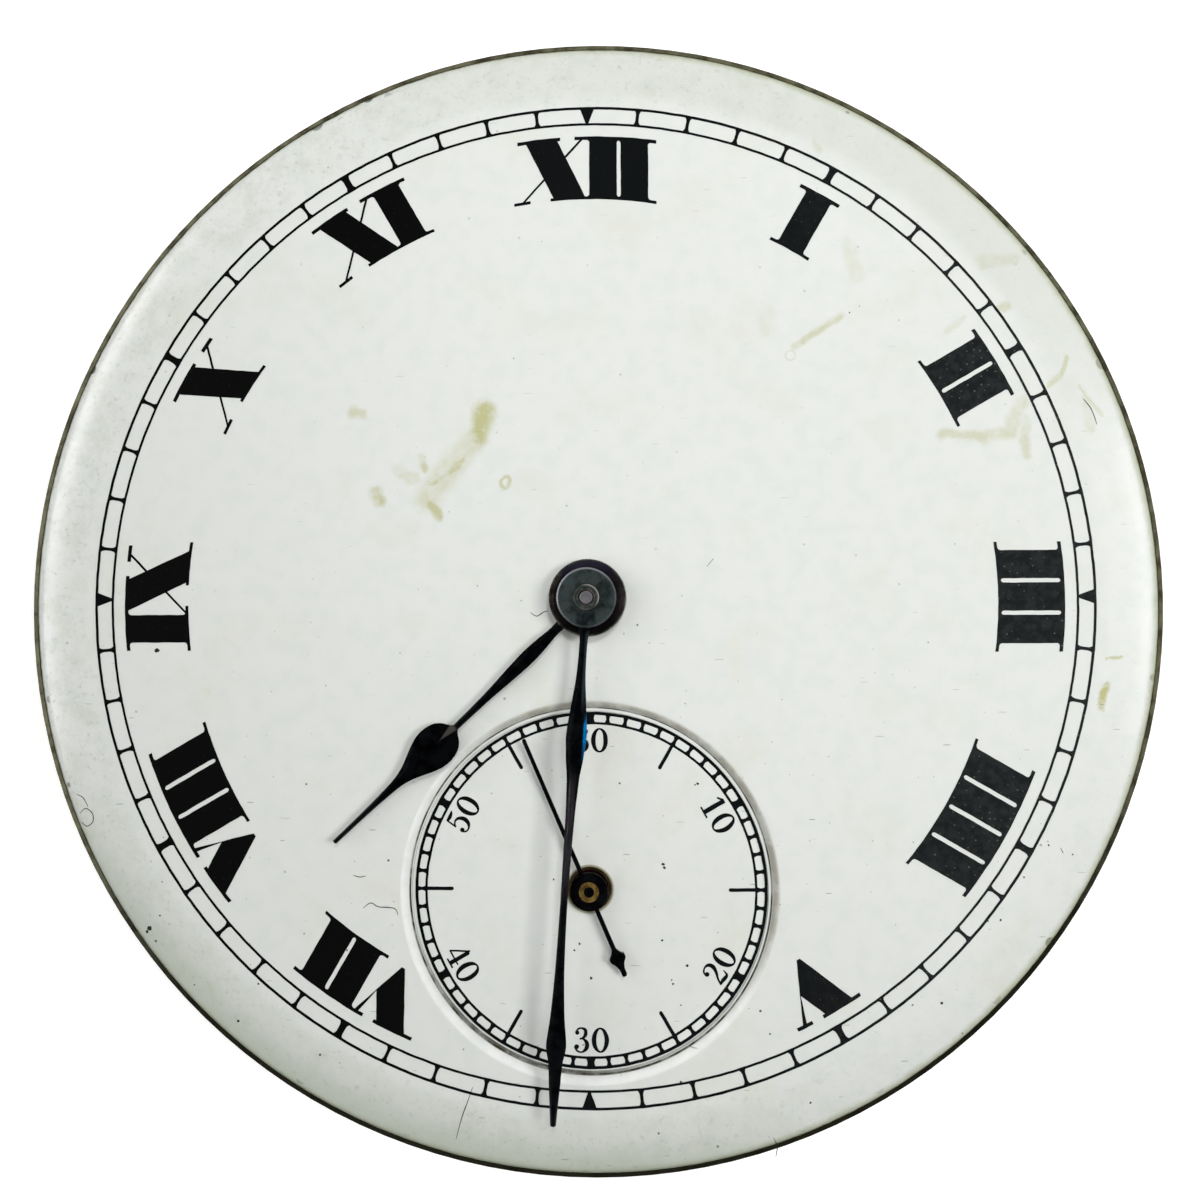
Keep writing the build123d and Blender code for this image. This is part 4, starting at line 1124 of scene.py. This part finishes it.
# Rings that drops have left: centre, the four limits of the ring, and strength
RING_STAIN = ((-3.2, 4.5), (0.1, 0.17, 0.22, 0.3), 0.55)
PALE_RING = ((7.9, 9.4), (0.14, 0.18, 0.2, 0.24), 0.3)


def add_stains(shade):
    """Olive stains, broken up by clouds, and a faint haze."""
    warped = shade.warped(1.3, 0.55)
    spots = []
    for start, end, half_width, strength in STAINS:
        away = shade.streak_distance(warped, start, end)
        spots.append(shade.ramp(away, half_width * 1.45, half_width * 0.3, 0.0, strength))
    for place, (centre, limits, strength) in ((warped, RING_STAIN), (shade.place, PALE_RING)):
        spots.append(shade.times(shade.band(shade.distance(place, centre), *limits), strength))
    cloud = shade.patches((1.8, 6.0, 0.65), 0.32, 0.6, 0.5, 1.25)
    shade.coat((188, 187, 132), shade.most(*spots), cloud)
    shade.coat((220, 221, 202), shade.patches((0.3, 4.0, 0.6), 0.5, 0.8, 0.0, 0.5))


def add_margin_wear(shade):
    """Mottling, chips and grime between the flat face and the rim, and painted shade: the margin
    greyed toward clock 22 and clock 202, and the outer glass greyed toward the lower left.
    """
    radius = shade.distance(shade.place)
    ragged = shade.math("MULTIPLY_ADD", shade.noise(1.6, 5.0, 0.65), -0.3, radius)
    # Painted shade: the margin's glass greyed toward clock 22 and clock 202
    ends = shade.math("ABSOLUTE", shade.toward(22))
    thin = shade.step(radius, FLAT_R, -0.2, 0.5)
    shade.coat((211, 215, 206), thin, shade.ramp(ends, 11.0, 20.0), 0.6)
    margin = shade.step(radius, FLAT_R, -0.8, 0.8)
    dull_left = shade.ramp(shade.axis(shade.place, "X"), 2.0, 14.0, 1.0, 0.25)
    margin = shade.times(margin, dull_left)
    mottle = shade.patches((1.0, 8.0, 0.72), 0.42, 0.7, 0.0, 0.42)
    shade.coat((195, 201, 184), mottle, margin)
    flecks = shade.patches((4.2, 5.0, 0.7), 0.54, 0.72, 0.0, 0.4)
    shade.coat((158, 166, 150), flecks, margin)
    shade.coat((96, 98, 62), shade.step(ragged, ENAMEL_R, -0.22, -0.12), 0.8)
    chips = shade.specks(1.1, 0.22, 0.4, 6)
    shade.coat((34, 33, 20), chips, shade.step(radius, ENAMEL_R, -0.3, -0.15))
    tint = shade.step(ragged, ENAMEL_R, -0.5, -0.2, 0.0, 0.7)
    shade.coat((176, 182, 150), tint, shade.ramp(shade.toward(110), -18.0, 0.0))
    # Painted shade: the outer glass greyed toward the lower left, where the light falls off
    painted_low_shade = shade.step(ragged, ENAMEL_R, -1.9, -0.2, 0.0, 0.55)
    shade.coat((170, 180, 160), painted_low_shade, shade.ramp(shade.toward(205), 13.5, 19.5))


def shade_opening(shade):
    """Rings on the shoulder of the seconds opening: painted shade on its upper right, a painted
    highlight on its lower left and a dark crack; and a ring round its hole.
    """
    shoulder = shade.distance(shade.place, SHOULDER_CENTRE)
    patchy = shade.patches((1.1, 5.0, 0.6), 0.35, 0.6, 0.55, 1.0)
    raised_place = shade.mapped(shade.place, shift=(0, -SECONDS_Y, 0))
    upper_right = shade.axis(shade.mapped(raised_place, turn_deg=40), "Y")
    upper_right = shade.ramp(upper_right, -1.0, 4.0)
    lower_left = shade.math("SUBTRACT", 1.0, upper_right)
    # Painted shade: the shoulder darkened on its upper right
    shaded = shade.ring(shoulder, WALL_R, 0.01, 0.05, 0.17, 0.32)
    shade.coat((128, 122, 98), shaded, upper_right, patchy, 0.7)
    # Painted highlight: the shoulder whiter than the face on its lower left
    wall = shade.ring(shoulder, WALL_R, 0.0, 0.04, 0.26, 0.36)
    shade.coat((250, 252, 249), wall, patchy, lower_left, 0.9)
    crack = shade.ring(shoulder, WALL_R, -0.05, -0.03, 0.005, 0.025)
    shade.coat((60, 54, 38), crack, patchy)
    seam = shade.distance(shade.place, SECONDS_CENTRE)
    shade.coat((128, 122, 62), shade.ring(seam, SECONDS_HOLE_R, -0.05, 0.0, 0.05, 0.13), 0.8)


def make_enamel():
    """Old white glass: a faint greenish grey, mottled, stained, specked and scratched, with painted
    shade on its margin and painted shade and a painted highlight on the opening's shoulder.
    """
    shade = Shade("aged_enamel")
    shade.base = shade.mix(shade.noise(0.16, 2.0), (229, 233, 228), (231, 232, 228))
    shade.coat((226, 230, 225), shade.patches((1.4, 2.0), 0.35, 0.75))
    add_stains(shade)
    add_margin_wear(shade)
    shade_opening(shade)
    lower = shade.ramp(shade.axis(shade.place, "Y"), 4.0, -8.0, 0.35, 1.0)
    marks = shade.times(shade.specks(1.9, 0.045, 0.35, 1, turn_deg=20), lower)
    fine = shade.times(shade.specks(0.8, 0.022, 0.3, 2), lower, 0.7)
    scratches = shade.specks(0.9, 0.032, 0.25, 3, (0.22, 1.6, 1), 35)
    hairs = shade.specks(1.3, 0.03, 0.22, 4, (0.18, 1.8, 1), -20)
    scratches = shade.times(shade.most(scratches, hairs), lower, 0.6)
    dark = shade.most(marks, fine, scratches)
    shade.coat((62, 64, 56), dark)
    rough = shade.patches((0.9, 2.0), 0.3, 0.7, 0.16, 0.24)
    height = shade.math("MULTIPLY_ADD", dark, -0.6, shade.times(shade.noise(0.35, 2.0), 3.0))
    height = shade.math("ADD", height, shade.noise(6.0, 3.0))
    return shade.finish(Roughness=rough, Normal=shade.bump(height, 0.004, 0.6), IOR=1.48)


def make_ink():
    """Fired black paint, pitted, with a painted sheen that makes it dark grey toward the right of
    the dial.
    """
    shade = Shade("fired_ink")
    side = shade.axis(shade.place, "X")
    # Painted sheen: the ink greyer toward the right of the dial
    painted_sheen_side = shade.ramp(side, 5.0, 15.0)
    patches = shade.patches((2.4, 6.0, 0.65), 0.38, 0.62)
    shade.base = shade.mix(shade.ramp(side, -9.0, 0.0, 0.0, 0.4), (1, 1, 1), (22, 26, 28))
    shade.coat((40, 43, 43), painted_sheen_side, shade.math("MULTIPLY_ADD", patches, 0.6, 0.4))
    pits = shade.specks(0.26, 0.03, 0.45, 5)
    # Pale pits, made far paler on the right by the painted sheen
    shade.coat((130, 134, 128), pits, shade.math("MULTIPLY_ADD", painted_sheen_side, 0.4, 0.03))
    height = shade.math("MULTIPLY_ADD", pits, -1.0, shade.noise(5.0, 4.0))
    rough = shade.ramp(patches, 0, 1, 0.4, 0.55)
    return shade.finish(Roughness=rough, Normal=shade.bump(height, 0.006), IOR=1.12)


def make_dirt():
    """Specks of dark dirt and pits in the glass."""
    shade = Shade("dark_specks")
    shade.base = shade.mix(shade.noise(3.0, 4.0), (16, 17, 15), (64, 62, 48))
    return shade.finish(Roughness=shade.patches((2.0,), 0.3, 0.7, 0.5, 0.8), IOR=1.2)


def make_minute_steel():
    """Near black blued steel with painted reflections: a grey strip along its middle, a blue patch
    on one flank, a paler sheen near the boss and a highlight on the boss's rim.
    """
    shade = Shade("minute_hand_steel")
    hand = shade.mapped(shade.place, turn_deg=MINUTE_ANGLE)
    out = shade.axis(hand, "Y")
    side = shade.axis(hand, "X")
    patches = shade.patches((2.2, 5.0, 0.6), 0.35, 0.65)
    shade.base = shade.mix(patches, (3, 4, 5), (11, 13, 15))
    # Painted reflection: a grey strip along the middle of the blade
    middle = shade.band(side, -0.07, 0.0, 0.2, 0.24)
    brushed = shade.mapped(hand, (3.0, 0.5, 1))
    middle = shade.times(shade.band(out, 6.2, 7.6, 9.5, 12.0), middle)
    shade.coat((42, 40, 42), middle, shade.patches((3.0, 4.0, 0.6, brushed), 0.3, 0.6, 0.4, 1.0))
    # Painted highlight: a blue patch on one flank of the first swelling
    ragged = shade.math("MULTIPLY_ADD", shade.noise(4.0, 4.0, 0.6), 0.12, side)
    painted_blue_highlight = shade.times(shade.band(out, 4.3, 4.9, 5.7, 6.4), shade.ramp(ragged, -0.12, -0.19))
    shade.coat((0, 98, 156), painted_blue_highlight, shade.ramp(patches, 0, 1, 0.6, 1.0))
    # Painted sheen on one side of the blade near the boss
    painted_sheen_near_boss = shade.band(out, 1.2, 1.6, 3.0, 4.4)
    shade.coat((52, 66, 72), painted_sheen_near_boss, shade.ramp(side, -0.02, -0.12), 0.7)

    blade_base = shade.base
    away = shade.distance(shade.place)
    cloud = shade.noise(1.5, 6.0, 0.62, shade.warped(1.1, 0.7))
    shade.base = shade.mix(shade.ramp(cloud, 0.4, 0.62), (18, 25, 26), (54, 62, 61))
    shade.coat((60, 70, 74), shade.patches((0.9, 3.0), 0.5, 0.7, 0.0, 0.6))
    # Painted highlight on the upper left of the boss's rim
    painted_rim_highlight = shade.step(away, MINUTE_BOSS_R, -0.1, -0.03)
    shade.coat((146, 146, 152), painted_rim_highlight, shade.ramp(shade.toward(-35), -0.7, 0.8, 0.1, 0.75))
    shade.coat((56, 60, 58), shade.step(away, MINUTE_BORE_R, 0.1, 0.02), 0.6)
    on_boss = shade.step(away, MINUTE_BOSS_R, 0.02, -0.01)
    shade.base = shade.mix(on_boss, blade_base, shade.base)
    return shade.finish_metal(patches, (0.22, 0.36), (9.0, 4.0), 0.002)


def make_hour_steel():
    """Black blued steel with a painted highlight where the stem meets the spade, and a brown boss
    with painted light: a violet reflection on its top, a lighter right side and shade below.
    """
    shade = Shade("hour_hand_steel")
    patches = shade.patches((2.2, 5.0, 0.6), 0.35, 0.65)
    shade.base = shade.mix(patches, (2, 2, 3), (9, 10, 12))
    hand = shade.mapped(shade.place, turn_deg=HOUR_ANGLE)
    out = shade.axis(hand, "Y")
    side = shade.math("ABSOLUTE", shade.axis(hand, "X"))
    # Painted highlight: a grey patch where the stem meets the spade
    painted_highlight_wedge = shade.ramp(shade.math("MULTIPLY_ADD", out, 0.225, side), 1.79, 1.72)
    shade.coat((78, 74, 70), painted_highlight_wedge, shade.ramp(out, 7.0, 7.15), 0.7)

    blade_base = shade.base
    away = shade.distance(shade.place)
    cloud = shade.patches((2.0, 5.0, 0.6, shade.warped(1.6, 0.5)), 0.35, 0.65)
    shade.base = shade.mix(cloud, (11, 10, 10), (27, 24, 22))
    top = shade.axis(shade.place, "Y")
    right = shade.axis(shade.place, "X")
    # Painted light on the boss: a violet reflection on top, a lighter right side and painted shade
    # below
    shade.coat((44, 42, 58), shade.ramp(top, 0.6, 1.4, 0.0, 0.6))
    shade.coat((50, 42, 46), shade.ramp(right, 0.9, 1.4, 0.0, 0.35))
    shade.coat((8, 7, 8), shade.ramp(top, -0.5, -1.1, 0.0, 0.85))
    edge = shade.step(away, HOUR_BOSS_R, -0.12, -0.03)
    shade.coat((82, 82, 66), edge, shade.ramp(cloud, 0, 1, 0.1, 0.8))
    on_boss = shade.step(away, HOUR_BOSS_R, 0.02, -0.02)
    shade.base = shade.mix(on_boss, blade_base, shade.base)
    return shade.finish_metal(patches, (0.2, 0.34), (9.0, 4.0), 0.003)


def make_arbor_steel(name, light, dark, painted_highlight_colour, centre_r, edge_r):
    """Polished steel end, with a painted highlight along the upper right of its edge."""
    shade = Shade(name)
    cloud = shade.patches((3.2, 5.0, 0.6), 0.35, 0.65)
    shade.base = shade.mix(cloud, light, dark)
    # Painted highlight along the upper right of the edge
    edge = shade.ramp(shade.distance(shade.place), centre_r, edge_r)
    shade.coat(painted_highlight_colour, edge, shade.ramp(shade.toward(58), 0.02, edge_r * 0.8))
    return shade.finish_metal(cloud, (0.25, 0.4), (12.0, 4.0), 0.003)


def make_copper():
    """Copper under dark oxide, blackest along the foot of the dial."""
    shade = Shade("copper_oxidised")
    cloud = shade.patches((1.3, 5.0, 0.65), 0.35, 0.65)
    shade.base = shade.mix(cloud, (60, 57, 42), (114, 113, 91))
    wall = shade.step(shade.axis(shade.place, "Z"), FACE_Z, -0.4, -0.7, 0.0, 0.75)
    shade.coat(shade.mix(cloud, (74, 52, 38), (112, 80, 58)), wall)
    shade.coat((18, 17, 10), shade.ramp(shade.toward(-5), -5.0, -15.0, 0.0, 0.92))
    return shade.finish_metal(cloud, (0.45, 0.65), (9.0, 4.0, 0.6), 0.01, 0.6)


def make_plain(name, light, dark, gloss, grain, bump_mm, metallic):
    """A material whose colour, gloss and surface vary with soft patches and a fine grain."""
    shade = Shade(name)
    patches = shade.patches((grain, 5.0, 0.6), 0.3, 0.7)
    shade.base = shade.mix(patches, light, dark)
    return shade.finish_metal(patches, gloss, (14.0, 4.0, 0.6), bump_mm, 0.6, metallic)


# By slot: name, two shades, limits of roughness, grain, relief in millimetres, how metallic
PLAIN = {
    "blued_steel": ("blued_steel_black", (3, 3, 4), (13, 14, 17), (0.2, 0.34), 2.2, 0.002, 1.0),
    "polished_steel": (
        "polished_steel_aged", (150, 148, 150), (96, 98, 102), (0.22, 0.4), 4.0, 0.002, 1.0
    ),
    "brass": ("brass_aged", (116, 95, 50), (62, 48, 24), (0.28, 0.5), 4.0, 0.002, 1.0),
    "plate_nickel": (
        "plate_nickel_frosted", (196, 190, 172), (170, 160, 136), (0.34, 0.5), 0.5, 0.006, 1.0
    ),
    "counter_enamel": (
        "counter_enamel_glass", (206, 208, 200), (186, 188, 178), (0.2, 0.4), 0.6, 0.01, 0.0
    ),
    "solder": ("solder_dull", (150, 150, 148), (112, 112, 110), (0.4, 0.6), 3.0, 0.02, 1.0),
    # Painted shade: the ruby darkened almost to black, as it lies deep under the seconds hand
    "jewel": ("ruby_jewel", (56, 6, 14), (36, 3, 9), (0.05, 0.12), 2.0, 0.002, 0.0),
}
# By node: name, two shades, the shade of the edge's painted highlight, the radii where that begins
# and is full
STEEL_ENDS = {
    "cannon_pinion": ("cannon_end_steel", (76, 79, 74), (44, 52, 49), (150, 152, 146), 0.42, 0.5),
    "centre_arbor": ("arbor_end_steel", (116, 110, 113), (92, 92, 96), (150, 140, 136), 0.2, 0.29),
}
# By slot or by piece
BUILT_UP = {
    "dial_copper": make_copper,
    "dial_enamel": make_enamel,
    "minute_hand": make_minute_steel,
    "hour_hand": make_hour_steel,
    "ink": make_ink,
    "dirt": make_dirt,
}


def make_materials():
    materials = {slot: make_plain(*values) for slot, values in PLAIN.items()}
    materials |= {node: make_arbor_steel(*values) for node, values in STEEL_ENDS.items()}
    return materials | {name: make() for name, make in BUILT_UP.items()}


def dress_cad_nodes(materials):
    """Every node that stays gets its own material, or its slot's where it has none."""
    slots = {part["node"]: part["material_slot"] for part in frame["record"]["subparts"]}
    for name, node in frame["nodes"].items():
        material = materials[name if name in STEEL_ENDS else slots[name]]
        for material_slot in node.material_slots:
            material_slot.material = material


# Stage
def seen_rays(graph):
    """1 for rays from the camera, off gloss and through glass, 0 for the rest."""
    path = graph.node("LightPath").outputs
    return graph.most(path["Is Camera Ray"], path["Is Glossy Ray"], path["Is Transmission Ray"])


def make_floor():
    """A pale floor that stays white to the camera but keeps a soft shadow."""
    bm = bmesh.new()
    bmesh.ops.create_grid(bm, x_segments=8, y_segments=8, size=FLOOR_HALF)
    floor = finish_mesh("floor", bm)
    material = bpy.data.materials.new("floor_pale")
    graph = Graph(material)
    away = graph.length(graph.node("TexCoord").outputs["Object"])
    strength = graph.times(seen_rays(graph), graph.ramp(away, *FLOOR_GLOW_REACH, *FLOOR_GLOW))
    matte = graph.node("BsdfDiffuse", {"Color": FLOOR_GREY})
    glow = graph.node("Emission", {"Strength": strength})
    total = graph.node("AddShader", {0: matte.outputs[0], 1: glow.outputs[0]})
    graph.node("OutputMaterial", {"Surface": total.outputs[0]})
    floor.data.materials.append(material)


def make_world():
    """White where a camera or a reflection sees it; as light, a pale band above the horizon."""
    world = bpy.data.worlds.new("studio")
    bpy.context.scene.world = world
    graph = Graph(world)
    height = graph.axis(graph.node("TexCoord").outputs["Generated"], "Z")
    level = graph.ramp(height, *FILL_HEIGHTS, FILL_LOW, FILL_HIGH)
    strength = graph.node("Mix", {0: seen_rays(graph), 2: level, 3: 1.0}, data_type="FLOAT")
    inputs = {"Color": (1, 1, 1, 1), "Strength": strength.outputs[0]}
    background = graph.node("Background", inputs)
    graph.node("OutputWorld", {"Surface": background.outputs[0]})


def place_lamp(name, data, clock_angle, from_top_deg, distance, aim_at, lit, mirrored):
    """Put a lamp over the dial, by how far it stands from upright over the aim."""
    lamp = bpy.data.objects.new(name, data)
    x, y = polar(clock_angle, distance * sin(radians(from_top_deg)), aim_at)
    lamp.location = Vector((x, y, distance * cos(radians(from_top_deg)) + FACE_Z)) * MM
    aim = Vector((*aim_at, FACE_Z)) * MM - lamp.location
    lamp.rotation_euler = aim.to_track_quat("-Z", "Y").to_euler()
    lamp.visible_diffuse = lit
    lamp.visible_glossy = mirrored
    bpy.context.scene.collection.objects.link(lamp)


def make_lamp(name, clock_angle, from_top_deg, distance, width, height, level, mirrored):
    """A soft rectangular lamp, which either lights the dial or only shows in its gloss.

    The level is the light that it gives a white surface turned to it, as a share of white.
    """
    data = bpy.data.lights.new(name, "AREA")
    data.shape = "RECTANGLE"
    data.size = width * MM
    data.size_y = height * MM
    data.energy = level * pi * pi * (distance * MM) ** 2
    lit = not mirrored
    place_lamp(name, data, clock_angle, from_top_deg, distance, DIAL_CENTRE, lit, mirrored)


def make_pool(name, clock_angle, from_top_deg, distance, aim_at, pool_r, blend, radius, level):
    """A soft pool of light about a point of the dial, which fades toward its rim."""
    data = bpy.data.lights.new(name, "SPOT")
    data.spot_size = 2 * atan2(pool_r, distance)
    data.spot_blend = blend
    data.shadow_soft_size = radius * MM
    data.energy = level * 4 * pi * pi * (distance * MM) ** 2
    place_lamp(name, data, clock_angle, from_top_deg, distance, aim_at, True, False)


# Rectangular lamps: clock angle, degrees from upright, distance, width, height and level,
# and whether the lamp shows in the gloss instead of lighting the dial
LAMPS = {
    "key_right": (84, 32, 260, 70, 82, 0.42, False),
    "fill_left": (286, 42, 220, 200, 170, 0.34, False),
    "strip_left": (283, 52.8, 146, 120, 22, 0.26, True),
    "strip_right": (88, 47.8, 145, 70, 18, 0.08, True),
}


def make_lamps():
    for name, values in LAMPS.items():
        make_lamp(name, *values)
    pool = {"aim_at": polar(44, 21), "pool_r": 42, "blend": 0.42, "radius": 20, "level": 0.385}
    make_pool("top_pool", 20, 18, 180, **pool)


def make_camera():
    data = bpy.data.cameras.new("camera")
    data.sensor_width = SENSOR_MM
    data.lens = LENS_MM
    data.shift_y = CAMERA_SHIFT
    data.clip_start, data.clip_end = CAMERA_CLIP_M
    camera = bpy.data.objects.new("camera", data)
    camera.location = Vector(CAMERA_PLACE) * MM
    camera.rotation_euler = Euler([radians(a) for a in CAMERA_TURN_DEG], "XYZ")
    bpy.context.scene.collection.objects.link(camera)
    bpy.context.scene.camera = camera


# What makes each piece, and its material
PIECES = (
    (make_dial_face, "dial_enamel"),
    (make_seconds_face, "dial_enamel"),
    (make_minute_track, "ink"),
    (make_hour_numerals, "ink"),
    (make_seconds_track, "ink"),
    (make_seconds_numerals, "ink"),
    (make_specks, "dirt"),
    (make_hour_hand, "hour_hand"),
    (make_minute_hand, "minute_hand"),
    (make_seconds_hand, "blued_steel"),
)


def main():
    bpy.context.scene.view_settings.view_transform = "Standard"
    materials = make_materials()
    dress_cad_nodes(materials)
    for make, material in PIECES:
        make(materials[material])
    make_floor()
    make_world()
    make_lamps()
    make_camera()


main()
